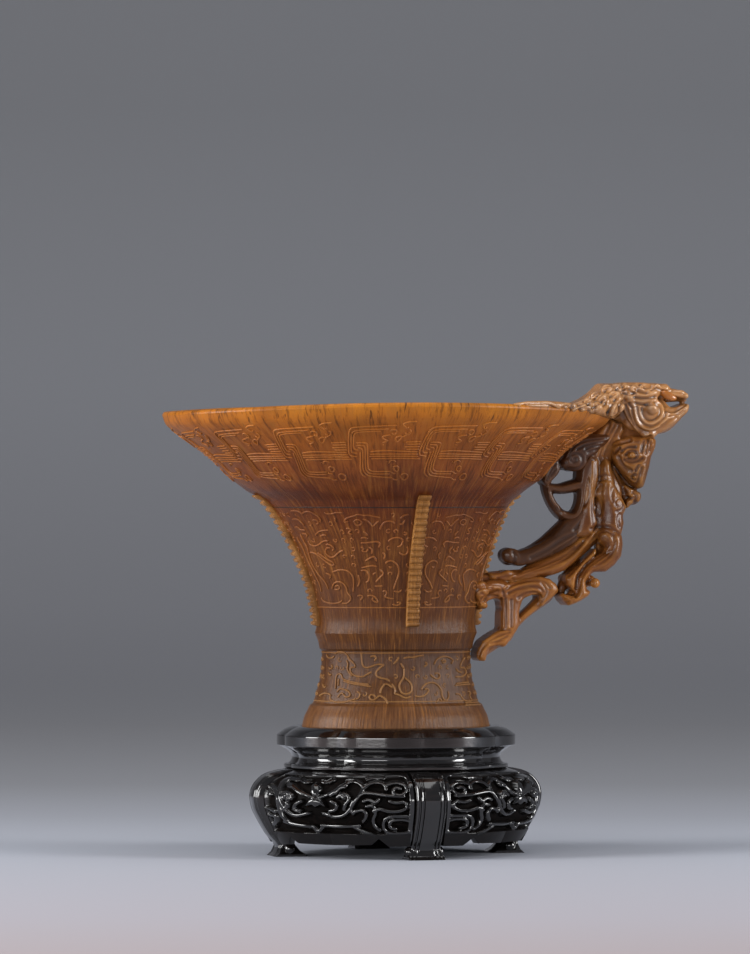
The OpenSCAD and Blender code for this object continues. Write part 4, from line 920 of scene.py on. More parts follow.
def slopes(places, values):
    """Slopes of a curve through points that never swings past them."""
    steps = np.diff(values) / np.diff(places)
    before, after = steps[:-1], steps[1:]
    turns_back = before * after <= 0
    total = np.where(turns_back, 1, before + after)
    inner = np.where(turns_back, 0, 2 * before * after / total)
    return np.concatenate([steps[:1], inner, steps[-1:]])


def eased(rows, edges, at):
    """Every column of rows at heights at, smooth between the edges."""
    rows = np.array(rows, dtype=float)
    marks = [rows[0, 0]] + list(edges) + [rows[-1, 0]]
    found = np.empty((len(at), rows.shape[1] - 1))
    for low, high in zip(marks[:-1], marks[1:]):
        part = rows[(rows[:, 0] >= low - TINY) & (rows[:, 0] <= high + TINY)]
        here = (at >= low - TINY) & (at <= high + TINY)
        for column in range(1, rows.shape[1]):
            x, y = part[:, 0], part[:, column]
            if len(x) == 2:
                found[here, column - 1] = np.interp(at[here], x, y)
                continue
            m = slopes(x, y)
            i = np.clip(np.searchsorted(x, at[here]) - 1, 0, len(x) - 2)
            w = x[i + 1] - x[i]
            t = (at[here] - x[i]) / w
            found[here, column - 1] = (
                y[i] * (2 * t ** 3 - 3 * t ** 2 + 1) + y[i + 1] * (3 * t ** 2 - 2 * t ** 3)
                + m[i] * w * (t ** 3 - 2 * t ** 2 + t) + m[i + 1] * w * (t ** 3 - t ** 2))
    return found


def cup_sizes(share):
    """Half length, half width and middle of the cup's outside at height shares."""
    share = np.atleast_1d(np.asarray(share, dtype=float))
    low = eased(FOOT_ROWS, FOOT_EDGES, np.clip(share, 0, STEM_SHARE))
    high = eased(FLARE_ROWS, FLARE_EDGES, np.clip(share, STEM_SHARE, FLARE_ROWS[-1][0]))
    foot = share < STEM_SHARE
    half_l = STEM_L / 2 + np.where(foot, low[:, 0] * (FOOT_L - STEM_L), high[:, 0] * (MOUTH_L - STEM_L)) / 2
    half_w = STEM_W / 2 + np.where(foot, low[:, 1] * (FOOT_W - STEM_W), high[:, 1] * (MOUTH_W - STEM_W)) / 2
    return half_l, half_w, -MOUTH_SHIFT * np.where(foot, 0, high[:, 2])


def lip_fall(share, turn):
    """How far the lip dips towards the ends."""
    return LIP_WAVE * np.cos(turn) ** 2 * np.maximum(share - FLANGE_HIGH, 0) / (1 - FLANGE_HIGH)


def cup_places(turn, share, inset=0.0, reach=1.0):
    """Places on the cup: turn round the axis in radians and height share, inset within the outside."""
    turn, share = np.broadcast_arrays(np.asarray(turn, dtype=float), np.asarray(share, dtype=float))
    half_l, half_w, middle = cup_sizes(share.ravel())
    turn, share = turn.ravel(), share.ravel()
    return np.stack([
        middle * reach + (half_l - inset) * reach * np.cos(turn),
        (half_w - inset) * reach * np.sin(turn),
        CUP_Z + share * CUP_H - lip_fall(share, turn)], axis=1)


def turns_of(sides):
    """The turns of a ring's corners."""
    return np.arange(sides) * 2 * math.pi / sides


def oval(half_l, half_w, height, turns):
    """Places at turns of an oval about the axis."""
    return np.stack([half_l * np.cos(turns), half_w * np.sin(turns), height + 0 * turns], axis=1)


def cup_shell():
    """The cup's own wall, foot and bowl as one piece."""
    turns = turns_of(CUP_SIDES)
    hollow = oval(FOOT_L / 2 - FOOT_RING, FOOT_W / 2 - FOOT_RING, CUP_Z, turns)
    rings = [hollow + [0, 0, FOOT_HOLLOW], hollow]
    marks = sorted({0, STEM_SHARE, *FOOT_EDGES, *FLARE_EDGES, FLARE_ROWS[-1][0]})
    shares = [0]
    for low, high in zip(marks[:-1], marks[1:]):
        count = max(1, round((high - low) / CUP_STEP))
        shares += [low + (high - low) * (i + 1) / count for i in range(count)]
    rings += [cup_places(turns, s) for s in shares]
    rim = FLARE_ROWS[-1][0]
    for i in range(1, 2 * LIP_STEPS):
        bend = math.pi * i / (2 * LIP_STEPS)
        rings.append(cup_places(turns, rim + (1 - rim) * math.sin(bend), WALL / 2 * (1 - math.cos(bend))))
    bowl = np.array(BOWL_ROWS)
    depths = np.unique(np.concatenate([bowl[:, 0], np.linspace(bowl[0, 0], bowl[-1, 0], BOWL_STEPS)]))
    reaches = eased(BOWL_ROWS, [], depths)[:, 0]
    for depth, reach in zip(depths, reaches):
        rings.append(cup_places(turns, 1 - depth * BOWL_DEPTH / CUP_H, WALL, reach))
    piece = raise_rings("cup_shell", rings)
    round_off(piece, CREASES["cup"])
    return piece


def way_through(view, x, y):
    """The way from the photograph's eye through a view's point."""
    left, top, enlargement = view
    px, py = left + x / enlargement, top + y / enlargement
    way = sight_way + across_way * (px - PHOTO_W / 2) / FOCAL_PX + up_way * (EYE_PY - py) / FOCAL_PX
    return way / np.linalg.norm(way)


def seen_in(view, places):
    """Where places in millimetres fall in a view."""
    left, top, enlargement = view
    off = places - eye
    away = off @ sight_way
    pixels = np.stack([PHOTO_W / 2 + FOCAL_PX * (off @ across_way) / away,
                       EYE_PY - FOCAL_PX * off[:, 2] / away], axis=1)
    return (pixels - [left, top]) * enlargement


def ray_tree(piece):
    """A tree of a piece that rays in millimetres can be cast at."""
    places = [tuple(p) for p in in_millimetres(piece)]
    return BVHTree.FromPolygons(places, [list(f.vertices) for f in piece.data.polygons])


def hit_from_eye(tree, way):
    """Where the sight line of a way first meets a tree, or nothing."""
    return tree.ray_cast(Vector(eye), Vector(way))[0]


def even_line(points, step, rounds=2):
    """A line with its corners cut at a quarter each round, and its points about step apart."""
    points = np.array(points, dtype=float)
    for _ in range(rounds):
        if len(points) > 2:
            before, after = points[:-1], points[1:]
            cuts = np.concatenate([before * 0.75 + after * 0.25, before * 0.25 + after * 0.75], axis=1)
            points = np.concatenate([points[:1], cuts.reshape(-1, points.shape[1]), points[-1:]])
    run = np.concatenate([[0], np.cumsum(np.linalg.norm(np.diff(points, axis=0), axis=1))])
    count = max(2, round(run[-1] / step) + 1)
    at = np.linspace(0, run[-1], count)
    return np.stack([np.interp(at, run, points[:, c]) for c in range(points.shape[1])], axis=1)


def turns_and_shares(places):
    """The turns and height shares of places on the cup."""
    share = (places[:, 2] - CUP_Z) / CUP_H
    for _ in range(SHARE_ROUNDS):
        half_l, half_w, middle = cup_sizes(share)
        turn = np.arctan2(places[:, 1] / half_w, (places[:, 0] - middle) / half_l)
        share = (places[:, 2] - CUP_Z + lip_fall(share, turn)) / CUP_H
    return np.stack([turn, share], axis=1)


def on_the_cup(lines, view, tree):
    """Lines of a view as turns and height shares on the cup."""
    spots, counts = [], []
    for line in lines:
        before = len(spots)
        for x, y in even_line(line, LINE_STEP * view[2]):
            hit = hit_from_eye(tree, way_through(view, x, y))
            if hit is not None:
                spots.append(tuple(hit))
        counts.append(len(spots) - before)
    found = np.split(turns_and_shares(np.array(spots)), np.cumsum(counts)[:-1])
    return [line for line in found if len(line) > 1]


def raised_lines(name, lines, width, height):
    """Thin rounded ribs along lines of turn and height share on the cup, as one piece."""
    places, faces = [], []
    profile = [(-0.5, -RIB_SUNK / height), *RIB_TOP, (0.5, -RIB_SUNK / height)]
    rib = len(profile)
    for line in lines:
        turn, share = line[:, 0], line[:, 1]
        here = cup_places(turn, share)
        round_it = cup_places(turn + NUDGE_TURN, share) - cup_places(turn - NUDGE_TURN, share)
        up_it = cup_places(turn, share + NUDGE_SHARE) - cup_places(turn, share - NUDGE_SHARE)
        out = np.cross(round_it, up_it)
        out /= np.linalg.norm(out, axis=1)[:, None]
        side = np.cross(out, np.gradient(here, axis=0))
        side /= np.maximum(np.linalg.norm(side, axis=1), TINY)[:, None]
        closed = np.linalg.norm(here[0] - here[-1]) < CLOSED_WITHIN
        full = np.ones(len(here))
        if not closed:
            full[0] = full[-1] = RIB_END
        start = len(places)
        for p, o, w, f in zip(here, out, side, full):
            for aside, rise in profile:
                places.append(p + w * aside * width * f + o * rise * height * (f if rise > 0 else 1))
        for i in range(len(here) - 1):
            for j in range(rib):
                a, b = start + i * rib + j, start + i * rib + (j + 1) % rib
                faces.append((a, b, b + rib, a + rib))
        if not closed:
            last = start + (len(here) - 1) * rib
            faces.append(tuple(start + j for j in reversed(range(rib))))
            faces.append(tuple(last + j for j in range(rib)))
    piece = new_piece(name, places, faces)
    on_all(piece, bpy.ops.mesh.remove_doubles, threshold=MERGED)
    on_all(piece, bpy.ops.mesh.normals_make_consistent, inside=False)
    round_off(piece)
    return piece


def small_scrolls(lines, low, high, seed):
    """Small curls that fill the ground between lines in a band of height shares."""
    chance = np.random.default_rng(seed)
    taken = np.concatenate([cup_places(line[:, 0], line[:, 1]) for line in lines])
    found = []
    levels = max(1, round((high - low) * CUP_H / FILL_SPACING))
    for level in range(levels):
        share = low + (high - low) * (level + 0.5) / levels
        half_l, half_w, _ = cup_sizes(share)
        around = 2 * math.pi * math.sqrt((half_l[0] ** 2 + half_w[0] ** 2) / 2)
        count = round(around / FILL_SPACING)
        for i in range(count):
            scatter = chance.uniform(-FILL_SCATTER, FILL_SCATTER)
            turn = 2 * math.pi * (i + 0.5 * (level % 2) + scatter) / count - math.pi
            start, way = chance.uniform(0, 2 * math.pi), chance.choice([-1, 1])
            wind = np.linspace(0, 1, FILL_POINTS)
            off = FILL_RADIUS * (1 - FILL_DRAWN_IN * wind)
            across = off * np.cos(start + way * wind * FILL_WIND)
            up = off * np.sin(start + way * wind * FILL_WIND)
            reach = math.hypot(half_l[0] * math.sin(turn), half_w[0] * math.cos(turn))
            line = np.stack([turn + across / reach, share + up / CUP_H], axis=1)
            here = cup_places(line[:, 0], line[:, 1])
            near = taken[np.abs(taken[:, 2] - here[0, 2]) < FILL_RADIUS * 2 + FILL_KEEP_OFF]
            gaps = np.linalg.norm(near[:, None, :] - here[None, :, :], axis=2)
            if len(near) == 0 or np.min(gaps) > FILL_KEEP_OFF:
                found.append(line)
    return found


def ring_at(share):
    """A ring round the cup as turns and height shares."""
    return np.stack([np.linspace(-math.pi, math.pi, RING_POINTS), np.full(RING_POINTS, share)], axis=1)


def moved_round(lines, turns, mirror=None):
    """Copies of lines turned round the cup; mirror is a turn that they are also mirrored about."""
    copies = []
    for line in lines:
        for turn in turns:
            copies.append(line + [turn, 0])
            if mirror is not None:
                copies.append(np.stack([2 * mirror - line[:, 0] + turn, line[:, 1]], axis=1))
    return copies


def lobes(turn):
    """The stand's outline: a cusp at each leg and in the middle of each side."""
    return 1 - LOBE_DEPTH * (1 - np.abs(np.sin(4 * turn)) ** LOBE_ROUND)


def lobed_ring(reach, height):
    """A ring of the stand's outline at a share of the board's half size."""
    turns = turns_of(STAND_SIDES)
    out = lobes(turns) * reach / 2
    return oval(BOARD_L * out, BOARD_W * out, height, turns)


def moulding(name, rows, edges, low, height, steps):
    """One of the stand's mouldings, from its rows of height share and reach."""
    shares = np.unique(np.concatenate([np.array(rows)[:, 0], np.linspace(0, 1, steps)]))
    reaches = eased(rows, edges, shares)[:, 0]
    rings = [lobed_ring(r, low + s * height) for s, r in zip(shares, reaches)]
    if name == "board":
        seat = FOOT_L / 2 + SEAT_CLEARANCE, FOOT_W / 2 + SEAT_CLEARANCE
        for height_now in (low + height, low + height - SEAT_DEPTH):
            rings.append(oval(*seat, height_now, turns_of(STAND_SIDES)))
    piece = raise_rings(name, rings)
    bevelled(piece, *STAND_EDGE)
    round_off(piece, CREASES["moulding"])
    return piece


def apron_places(along, share, out):
    """Places on an apron in the quarter between +X and +Y: way along, height share, out from its middle."""
    reach = eased(APRON_OUT_ROWS, [], share)[:, 0]
    half_l = STAND_L / 2 * reach - APRON_T / 2
    half_w = STAND_W / 2 * reach - APRON_T / 2
    end = LEG_W / 2 + JOINT_GAP
    first = np.arcsin(end / (half_w - APRON_T))
    last = math.pi / 2 - np.arcsin(end / (half_l - APRON_T))
    turn = first + (last - first) * along
    return oval(half_l * lobes(turn) + out, half_w * lobes(turn) + out, share * LEG_H - JOINT_GAP, turn)


def apron_grid():
    """The way along and the height share of every point of an apron's face."""
    along = np.linspace(0, 1, APRON_COLUMNS + 1)
    rows = np.array(APRON_EDGE_ROWS)
    low = np.interp(np.minimum(along, 1 - along), rows[:, 0], rows[:, 1])
    up = np.linspace(0, 1, APRON_LEVELS + 1)
    share = low[:, None] + (1 - low[:, None]) * up[None, :]
    return np.repeat(along, APRON_LEVELS + 1), share.ravel()


def apron_relief(along, share):
    """How far out an apron's face stands: a sunk ground, plain edges, and the carving in the view."""
    seen = seen_in(APRON_VIEW, apron_places(along, share, 0) * [-1, -1, 1])
    carved = np.zeros(len(seen))
    for line in APRON_LINES:
        off = reach_to(seen, even_line(line, APRON_STEP)) / APRON_LINE[0]
        carved = np.maximum(carved, APRON_LINE[1] * np.sqrt(np.clip(1 - off ** 2, 0, 1)))
    for shape in APRON_SHAPES:
        shape = np.array(shape, dtype=float)
        off = reach_to(seen, np.concatenate([shape, shape[:1]]))
        rise = np.sqrt(1 - (1 - np.clip(off / APRON_SHAPE[0], 0, 1)) ** 2)
        carved = np.maximum(carved, APRON_SHAPE[1] * np.where(inside(seen, shape), 0.5 + 0.5 * rise, 0))
    low, high = APRON_PLAIN
    plain = np.maximum(np.clip((low - share) / APRON_FADE, 0, 1), np.clip((share - high) / APRON_FADE, 0, 1))
    border = np.clip((APRON_END[0] - np.minimum(along, 1 - along)) / APRON_END[1], 0, 1)
    ground = APRON_GROUND + (APRON_BAND - APRON_GROUND) * np.maximum(plain, border)
    return np.minimum(np.maximum(ground, APRON_GROUND + carved), APRON_T / 2)


def apron(name, out, mirror):
    """A carved apron as one closed sheet, in the quarter that mirror gives."""
    along, share = apron_grid()
    count = len(along)
    places = np.concatenate([
        apron_places(along, share, out), apron_places(along, share, APRON_BACK)]) * [*mirror, 1]
    tall = APRON_LEVELS + 1
    first = (np.arange(APRON_COLUMNS)[:, None] * tall + np.arange(APRON_LEVELS)[None, :]).ravel()
    front = np.stack([first, first + tall, first + tall + 1, first + 1], axis=1)
    faces = [tuple(f) for f in front.tolist()] + [tuple(reversed(f)) for f in (front + count).tolist()]
    rim = list(range(0, count, tall)) + list(range(count - tall, count))
    rim += list(range(count - 1, 0, -tall)) + list(range(tall - 1, -1, -1))
    for a, b in zip(rim, rim[1:] + rim[:1]):
        if a != b:
            faces.append((b, a, a + count, b + count))
    piece = piece_of(name, [(places, faces)])
    on_all(piece, bpy.ops.mesh.normals_make_consistent, inside=False)
    dull = np.where(share < APRON_DULL[0], APRON_DULL[1], 1)
    raised = (out - APRON_GROUND) / (APRON_BAND - APRON_GROUND) * dull
    write_shares(piece, "raised", np.concatenate([raised, np.ones(count)]))
    round_off(piece, CREASES["apron"])
    return piece


def leg(name, half, turn):
    """A cabriole leg with a banded face and two scrolls at its foot, turned to its place."""
    face = np.array(LEG_FACE)
    across = np.concatenate([-face[::-1, 0], face[1:, 0]]) / face[-1, 0]
    back = np.concatenate([face[::-1, 1], face[1:, 1]])
    shares = np.unique(np.concatenate([np.linspace(0, 1, LEG_STEPS), np.array(LEG_OUT_ROWS)[:, 0]]))
    out = eased(LEG_OUT_ROWS, LEG_OUT_EDGES, shares)[:, 0] * half
    inn = eased(LEG_IN_ROWS, LEG_IN_EDGES, shares)[:, 0] * half
    wide = eased(LEG_WIDE_ROWS, LEG_WIDE_EDGES, shares)[:, 0]
    fade_from, fade_reach, fade_left = LEG_FADE
    deep, slight, broad = LEG_CORNER
    rings = []
    for o, i, w, share in zip(out, inn, wide, shares):
        fade = min(1.0, max(fade_left, (share - fade_from) / fade_reach))
        ring = [(o - b * fade, a * w) for a, b in zip(across, back)]
        ring += [(i + deep, w - slight), (i, w - broad), (i, -w + broad), (i + deep, -w + slight)]
        rings.append([(x, y, share * LEG_H) for x, y in ring])
    cosine, sine = math.cos(turn), math.sin(turn)
    spin = np.array([[cosine, sine, 0], [-sine, cosine, 0], [0, 0, 1]])
    piece = raise_rings(name, [np.array(r) @ spin for r in rings])
    reach, height, radius, wide_half = FOOT_SCROLL
    scrolls = []
    for way in (-1, 1):
        own, own_faces = ball(bmesh.ops.create_uvsphere, radius, u_segments=32, v_segments=16)
        own = own * [1, SCROLL_FLAT, 1] + [reach * half, way * (wide_half - radius * SCROLL_FLAT), height]
        scrolls.append((own @ spin, own_faces))
    joined(piece, scrolls)
    round_off(piece, CREASES["leg"])
    return piece


def merged_copy(name, node):
    """A loose copy of a CAD node, with its doubled corners merged."""
    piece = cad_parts[node].copy()
    piece.data = piece.data.copy()
    piece.parent = None
    piece.matrix_world.identity()
    piece.name = name
    piece.data.name = name
    bpy.context.collection.objects.link(piece)
    for key in list(piece.keys()):
        del piece[key]
    on_all(piece, bpy.ops.mesh.remove_doubles, threshold=MERGED)
    return piece


def softened(name, node):
    """A CAD node's copy with its flats cleaned and its edges rounded."""
    piece = merged_copy(name, node)
    on_all(piece, bpy.ops.mesh.dissolve_limited, angle_limit=math.radians(1))
    bevelled(piece, *FLANGE_EDGE)
    round_off(piece, CREASES["flange"])
    return piece


def mark_painted_shade_and_highlight(piece, rounds, gain):
    """Writes how proud or deep each vertex stands against its surroundings as an attribute, which the finish
    turns into painted highlight on edges and painted shade in depths.
    """
    places = in_millimetres(piece)
    ends = np.empty(len(piece.data.edges) * 2, dtype=np.int64)
    piece.data.edges.foreach_get("vertices", ends)
    ends = ends.reshape(-1, 2)
    count = np.maximum(np.bincount(ends.ravel(), minlength=len(places)), 1)
    soft = places.copy()
    for _ in range(rounds):
        for c in range(3):
            total = np.bincount(ends[:, 0], weights=soft[ends[:, 1], c], minlength=len(places))
            total += np.bincount(ends[:, 1], weights=soft[ends[:, 0], c], minlength=len(places))
            soft[:, c] = 0.5 * soft[:, c] + 0.5 * total / count
    proud = np.einsum("ij,ij->i", places - soft, normals_of(piece))
    write_shares(piece, "painted_shade_and_highlight", 0.5 + gain * (proud - np.median(proud)))


def on_plane(points, view):
    """A view's points on the handle's middle plane, as ways along it and up it."""
    found = []
    for x, y in points:
        way = way_through(view, x, y)
        spot = eye - way * eye[1] / way[1]
        found.append((spot[0], spot[2]))
    return np.array(found)


def reach_to(points, line):
    """How far points are from a line of straight stretches."""
    best = np.full(len(points), np.inf)
    for a, b in zip(line[:-1], line[1:]):
        along = b - a
        size = max(along @ along, TINY)
        t = np.clip((points - a) @ along / size, 0, 1)
        best = np.minimum(best, np.linalg.norm(points - a - t[:, None] * along, axis=1))
    return best


def inside(points, outline):
    """Which points lie in a closed outline."""
    within = np.zeros(len(points), dtype=bool)
    for (ax, ay), (bx, by) in zip(outline, np.roll(outline, -1, axis=0)):
        if ay != by:
            crosses = (points[:, 1] > min(ay, by)) & (points[:, 1] <= max(ay, by))
            within ^= crosses & (points[:, 0] < ax + (points[:, 1] - ay) * (bx - ax) / (by - ay))
    return within


def domed_slab(view, middle, edge, slope, outline):
    """Places and faces of a slab over an outline, thick in the middle and rounded to its edge."""
    outline = on_plane(outline, view)
    closed = np.concatenate([outline, outline[:1]])
    low = np.floor(outline.min(axis=0) / SLAB_CELL) - 1
    size = (np.ceil(outline.max(axis=0) / SLAB_CELL) + 1 - low).astype(int)
    columns, rows = np.meshgrid(np.arange(size[0]), np.arange(size[1]), indexing="ij")
    spots = (np.stack([columns.ravel(), rows.ravel()], axis=1) + low) * SLAB_CELL
    off = np.clip(reach_to(spots, closed) / slope, 0, 1)
    half = edge + (middle - edge) * np.sqrt(1 - (1 - off) ** 2)
    full = inside(spots, outline).reshape(size)
    cells = full[:-1, :-1] & full[1:, :-1] & full[:-1, 1:] & full[1:, 1:]
    count = len(spots)
    places = np.concatenate([
        np.stack([spots[:, 0], way * half, spots[:, 1]], axis=1) for way in (-1, 1)])
    tall = size[1]
    padded = np.pad(cells, 1)
    faces = []
    for i, j in np.argwhere(cells):
        a, b, c, d = i * tall + j, (i + 1) * tall + j, (i + 1) * tall + j + 1, i * tall + j + 1
        faces.append((a, b, c, d))
        faces.append((d + count, c + count, b + count, a + count))
        for away, (p, q) in (((0, -1), (a, b)), ((1, 0), (b, c)), ((0, 1), (c, d)), ((-1, 0), (d, a))):
            if not padded[i + 1 + away[0], j + 1 + away[1]]:
                faces.append((q, p, p + count, q + count))
    return places, faces


def balls(view, x, y, radius, half):
    """Places and faces of two balls on a view's point, one on each side of the handle."""
    along, up = on_plane([(x, y)], view)[0]
    own, own_faces = ball(bmesh.ops.create_icosphere, radius, subdivisions=3)
    return [(own + [along, way * (half - radius / 2), up], own_faces) for way in (-1, 1)]


def knobs(piece, node):
    """Places and faces of the balls that stand out of a skin where the view's sight lines meet it."""
    view, spots = KNOBS[node]
    tree = ray_tree(piece)
    found = []
    for x, y, radius in spots:
        way = way_through(view, x, y)
        hit = hit_from_eye(tree, way)
        if hit is None:
            continue
        own, own_faces = ball(bmesh.ops.create_icosphere, radius, subdivisions=3)
        own = own + np.array(hit) + way * radius * KNOB_SUNK
        found.append((own, own_faces))
        if node != "rim_dragon_body":
            found.append((own * [1, -1, 1], [tuple(reversed(f)) for f in own_faces]))
    return found


def carving(node):
    """A CAD node's copy and its forms under one smooth skin, with its grooves cut on both sides."""
    piece = merged_copy(node + "_carving", node)
    move_to(piece, in_millimetres(piece) * [1, DEPTH_SHARE.get(node, 1), 1])
    parts = [domed_slab(*form) for form in FORMS.get(node, [])]
    for spot in BALLS.get(node, []):
        parts += balls(*spot)
    if parts:
        joined(piece, parts)
    skin(piece, CARVE_ROUNDS.get(node, CARVE_ROUNDS_ELSE))
    if node in KNOBS:
        joined(piece, knobs(piece, node))
        skin(piece, KNOB_ROUNDS)
    for view, depth, width, lines in GROOVES.get(node, []):
        cut(piece, view, depth * GROOVE_SHARE.get(node, 1), width, lines)
    # Painted shade in the depths and painted highlight along the edges, measured from the skin's shape
    mark_painted_shade_and_highlight(piece, *PAINTED_SHADING_SPREAD)
    round_off(piece)
    return piece


def cut(piece, view, depth, width, lines):
    """Moves a skin in along the lines of a view, and out a little beside them, on both its sides."""
    places, normals = in_millimetres(piece), normals_of(piece)
    front = places.copy()
    front[:, 1] = -np.abs(front[:, 1])
    seen = seen_in(view, front)
    off = np.full(len(places), np.inf)
    for line in lines:
        line = even_line(line, GROOVE_STEP)
        low, high = line.min(axis=0) - GROOVE_SEARCH, line.max(axis=0) + GROOVE_SEARCH
        near = np.all((seen > low) & (seen < high), axis=1)
        off[near] = np.minimum(off[near], reach_to(seen[near], line))
    off *= EYE_AWAY / FOCAL_PX / view[2] / width
    facing = np.clip(np.abs(normals[:, 1]) * GROOVE_FACING, 0, 1)
    edge, edge_out, edge_reach = GROOVE_EDGE
    move = -depth * np.exp(-off ** 2) + edge * depth * np.exp(-((off - edge_out) / edge_reach) ** 2)
    move_to(piece, places + normals * (move * facing)[:, None])


# Finishes
# The cup's colour by height: the darker stops at 0.7 and 0.73 paint the shade in the cove under the flare,
# and the brightening towards the lip is partly a painted glow of light through the thin horn
cup_horn = polished_horn("polished horn of the cup", [
    (0, "#6e4a2c"), (0.06, "#664226"), (0.1, "#54341a"), (0.2, "#472912"), (0.245, "#43260d"),
    (0.27, "#4b2a0e"), (0.3, "#553110"), (0.37, "#522b0c"), (0.39, "#583114"), (0.55, "#613614"),
    (0.66, "#64310f"), (0.7, "#5a280e"), (0.73, "#5c2a10"), (0.75, "#703a15"), (0.8, "#763d18"),
    (0.86, "#854818"), (0.92, "#9a5619"), (0.96, "#ab641c"), (1, "#bd741d")], "#94602a", "#3a1d0c")
# The raised lines are lighter than the cup's horn: partly polish on the raised carving and partly painted
# highlight on their ridges. The darker stop at 0.7 paints the cove's shade.
relief_horn_with_painted_highlight = polished_horn("polished horn of the relief", [
    (0, "#8a643c"), (0.24, "#79532b"), (0.36, "#825228"), (0.6, "#895026"), (0.7, "#6e3a17"),
    (0.78, "#884e20"), (0.86, "#9b5b25"), (0.92, "#a66226"), (1, "#bc7628")], "#ae7c42", "#583014",
    fibres=(0.35, 0.35))
flange_horn = polished_horn("polished horn of the flanges", [
    (0, "#85592c"), (0.5, "#8f6131"), (1, "#946432")], "#bf8a50", "#4a2a12", rough=(0.26, 0.36))
# Darker in its middle heights, where the trunk lies in the handle's shadow: partly the horn's own darker
# tone and partly painted shade
handle_horn = polished_horn("polished horn of the handle", [
    (0.2, "#8f5726"), (0.36, "#874f20"), (0.46, "#76421a"), (0.55, "#663a16"), (0.66, "#5c3214"),
    (0.8, "#663c17"), (0.87, "#7c4a1f"), (1, "#8a5426")], "#c4883c", "#1e0d05",
    painted_shading=True, rough=(0.26, 0.4), gloss=0.34, fibres=(0.36, 0.28))
# Its colours lighten towards the top of the head and its edge colour is near white: partly painted highlight
# on the head's top and edges
rim_horn = polished_horn("polished horn of the rim dragon", [
    (0.8, "#6c421d"), (0.9, "#8e5a28"), (1, "#ab7440")], "#d8ac7c", "#241006",
    painted_shading=True, rough=(0.16, 0.3), gloss=0.66, fibres=(0.3, 0.22))
# Darker horn for the parts that lie deep in the handle: partly their own darker tone and partly painted
# shade where they sit in the handle's shadow
dark_horn_with_painted_shade = polished_horn("dark polished horn of the handle with painted shade", [
    (0.3, "#54311a"), (0.55, "#402410"), (0.8, "#422411"), (1, "#4a2813")], "#7c4f27", "#190a04",
    painted_shading=True, rough=(0.3, 0.44), gloss=0.34, fibres=(0.3, 0.22))
amber_horn = polished_horn("amber horn", [(0, "#9a5c20"), (1, "#a8662a")], "#c08040", "#5c3010",
                           rough=(0.18, 0.28), gloss=0.6)
blackwood = polished_blackwood("waxed blackwood")
apron_wood = polished_blackwood("waxed blackwood of the aprons", sunk=True)

# Cup
shell = cup_shell()
dress(shell, cup_horn, "cup", ["cup_body"])
shell_tree = ray_tree(shell)
FRONT = -math.pi / 2
HALF_TURNS = [0, math.pi]
unit_turns = [2 * math.pi * i / UPPER_UNITS for i in range(UPPER_UNITS)]
upper = moved_round(on_the_cup(UPPER_LINES, UPPER_VIEW, shell_tree), unit_turns)
centre = moved_round(on_the_cup(CENTRE_LINES, CENTRE_VIEW, shell_tree), HALF_TURNS, FRONT)
lower = moved_round(on_the_cup(LOWER_LINES, LOWER_VIEW, shell_tree), HALF_TURNS)
filling = small_scrolls(centre, *CENTRE_BAND, CENTRE_SEED) + small_scrolls(lower, *LOWER_BAND, LOWER_SEED)
# Name, lines, width and height in millimetres, finish
RELIEFS = [
    ("relief_upper", upper, 0.6, 0.3, relief_horn_with_painted_highlight),
    ("relief_centre", centre, 0.65, 0.34, relief_horn_with_painted_highlight),
    ("relief_lower", lower, 0.72, 0.38, relief_horn_with_painted_highlight),
    ("relief_filling", filling, 0.5, 0.2, relief_horn_with_painted_highlight),
    ("register_lines", [ring_at(share) for share in REGISTER_RINGS], 0.5, 0.18, relief_horn_with_painted_highlight),
    # A dark line of the darker horn that, having no attribute of its own, takes the full painted depth
    # shade: painted shade of an engraved groove
    ("register_top_line", [ring_at(TOP_RING)], 0.42, 0.1, dark_horn_with_painted_shade)]
for name, lines, width, height, finish in RELIEFS:
    dress(raised_lines(name, lines, width, height), finish, "cup")
for side in ("right", "back", "left", "front"):
    flange = softened("flange_" + side + "_ribs", "flange_" + side)
    dress(flange, flange_horn, "cup", ["flange_" + side])

# Handle
# The branch, ring and leaf take the darker horn, partly their own tone and partly painted shade of the
# handle's shadow
HANDLE_FINISHES = {
    "handle_root": handle_horn, "handle_tail": handle_horn, "handle_branch": dark_horn_with_painted_shade,
    "handle_haunch": handle_horn, "handle_trunk": handle_horn, "handle_ring": dark_horn_with_painted_shade,
    "handle_leaf": dark_horn_with_painted_shade, "lower_dragon_head": handle_horn, "rim_dragon_body": rim_horn,
    "rim_dragon_head": rim_horn}
for node, finish in HANDLE_FINISHES.items():
    dress(carving(node), finish, "cup", [node])
tongue = piece_of("tongue", [domed_slab(*TONGUE)])
skin(tongue, TONGUE_ROUNDS)
round_off(tongue)
dress(tongue, amber_horn, "cup")

# Stand
for name, made_from in MOULDINGS.items():
    dress(moulding(name, *made_from), blackwood, "stand", ["stand_" + name])
for place, (side, size) in enumerate([
        ("right", STAND_L), ("back", STAND_W), ("left", STAND_L), ("front", STAND_W)]):
    dress(leg("leg_" + side + "_carved", size / 2, place * math.pi / 2), blackwood, "stand",
          ["leg_" + side])
apron_out = apron_relief(*apron_grid())
for side, mirror in [
        ("back_right", (1, 1)), ("back_left", (-1, 1)), ("front_left", (-1, -1)), ("front_right", (1, -1))]:
    dress(apron("apron_" + side + "_carved", apron_out, mirror), apron_wood, "stand",
          ["apron_" + side])


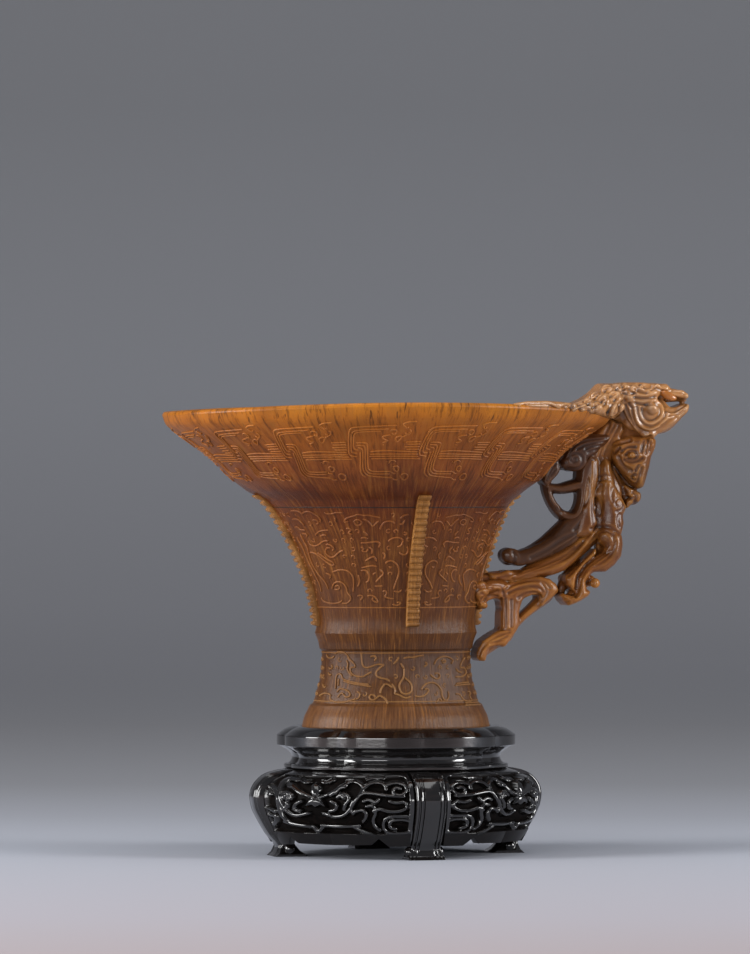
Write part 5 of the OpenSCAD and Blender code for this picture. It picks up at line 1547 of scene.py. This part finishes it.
def paper():
    """The floor's paper: matt, with its grey and painted light that change with the way off and up the wall,
    lighter in front of the cup, darker behind it and up the wall, and a pinkish painted reflection nearest
    the eye.
    """
    finish = bpy.data.materials.new("paper sweep")
    finish.use_nodes = True
    tree = finish.node_tree
    tree.nodes.clear()
    at = put(tree, "TexCoord").outputs["Object"]
    turned = put(tree, "Mapping", {"Vector": at, "Rotation": (0, 0, EYE_TURN)})
    parts = put(tree, "SeparateXYZ", [turned])
    away, up = parts.outputs["Y"], parts.outputs["Z"]
    # Painted light on the paper: lighter in front of the cup, darker behind it and up the wall, with a warm
    # painted reflection nearest the eye
    ground = put(tree, "ValToRGB", [put(tree, "MapRange", [away, *FLOOR_REACH])], FLOOR_COLOURS_AND_PAINTED_LIGHT)
    wall = put(tree, "ValToRGB", [put(tree, "MapRange", [up, *WALL_REACH])], WALL_COLOURS_AND_PAINTED_LIGHT)
    on_wall = put(tree, "MapRange", [away, *WALL_BEGINS])
    colour = put(tree, "Mix", {0: on_wall, 6: ground, 7: wall}, data_type="RGBA").outputs[2]
    put(tree, "OutputMaterial", {"Surface": put(tree, "BsdfDiffuse", {"Color": colour})})
    return finish


def lamp(name, aside, away, height, wide, tall, power):
    """A soft lamp at a place about the axis, in millimetres, aimed at the cup."""
    light = bpy.data.lights.new(name, "AREA")
    light.shape = "RECTANGLE"
    light.size = wide * MM
    light.size_y = tall * MM
    light.energy = power
    lit = bpy.data.objects.new(name, light)
    spot, aim = in_metres([
        across_way * aside + sight_way * away + up_way * height, up_way * LAMP_AIM_Z])
    lit.location = spot
    lit.rotation_euler = Vector(aim - spot).to_track_quat("-Z", "Y").to_euler()
    bpy.context.collection.objects.link(lit)


def studio():
    """Floor and backdrop in one sweep, four soft lamps, an even sky and the camera."""
    places = [sight_way * away + across_way * aside + up_way * height
              for away, height in SWEEP_ROWS for aside in (-SWEEP_HALF, SWEEP_HALF)]
    faces = [(2 * i, 2 * i + 1, 2 * i + 3, 2 * i + 2) for i in range(len(SWEEP_ROWS) - 1)]
    floor = new_piece("floor", places, faces)
    apply(floor, "SUBSURF", levels=SWEEP_ROUNDS, render_levels=SWEEP_ROUNDS)
    round_off(floor)
    floor.data.materials.append(paper())
    for row in LAMPS:
        lamp(*row)

    sky = bpy.data.worlds.new("even sky")
    bpy.context.scene.world = sky
    sky.use_nodes = True
    background = sky.node_tree.nodes["Background"]
    background.inputs["Color"].default_value = linear(SKY_COLOUR)
    background.inputs["Strength"].default_value = SKY_STRENGTH

    lens = bpy.data.cameras.new("photo camera")
    lens.sensor_width = SENSOR_MM
    lens.lens = FOCAL_PX / PHOTO_H * SENSOR_MM
    lens.clip_end = CLIP_END
    camera = bpy.data.objects.new("photo camera", lens)
    camera.location = in_metres([eye])[0]
    camera.rotation_euler = (math.pi / 2, 0, -EYE_TURN)
    bpy.context.collection.objects.link(camera)
    bpy.context.scene.camera = camera
    bpy.context.scene.view_settings.view_transform = "Standard"


studio()
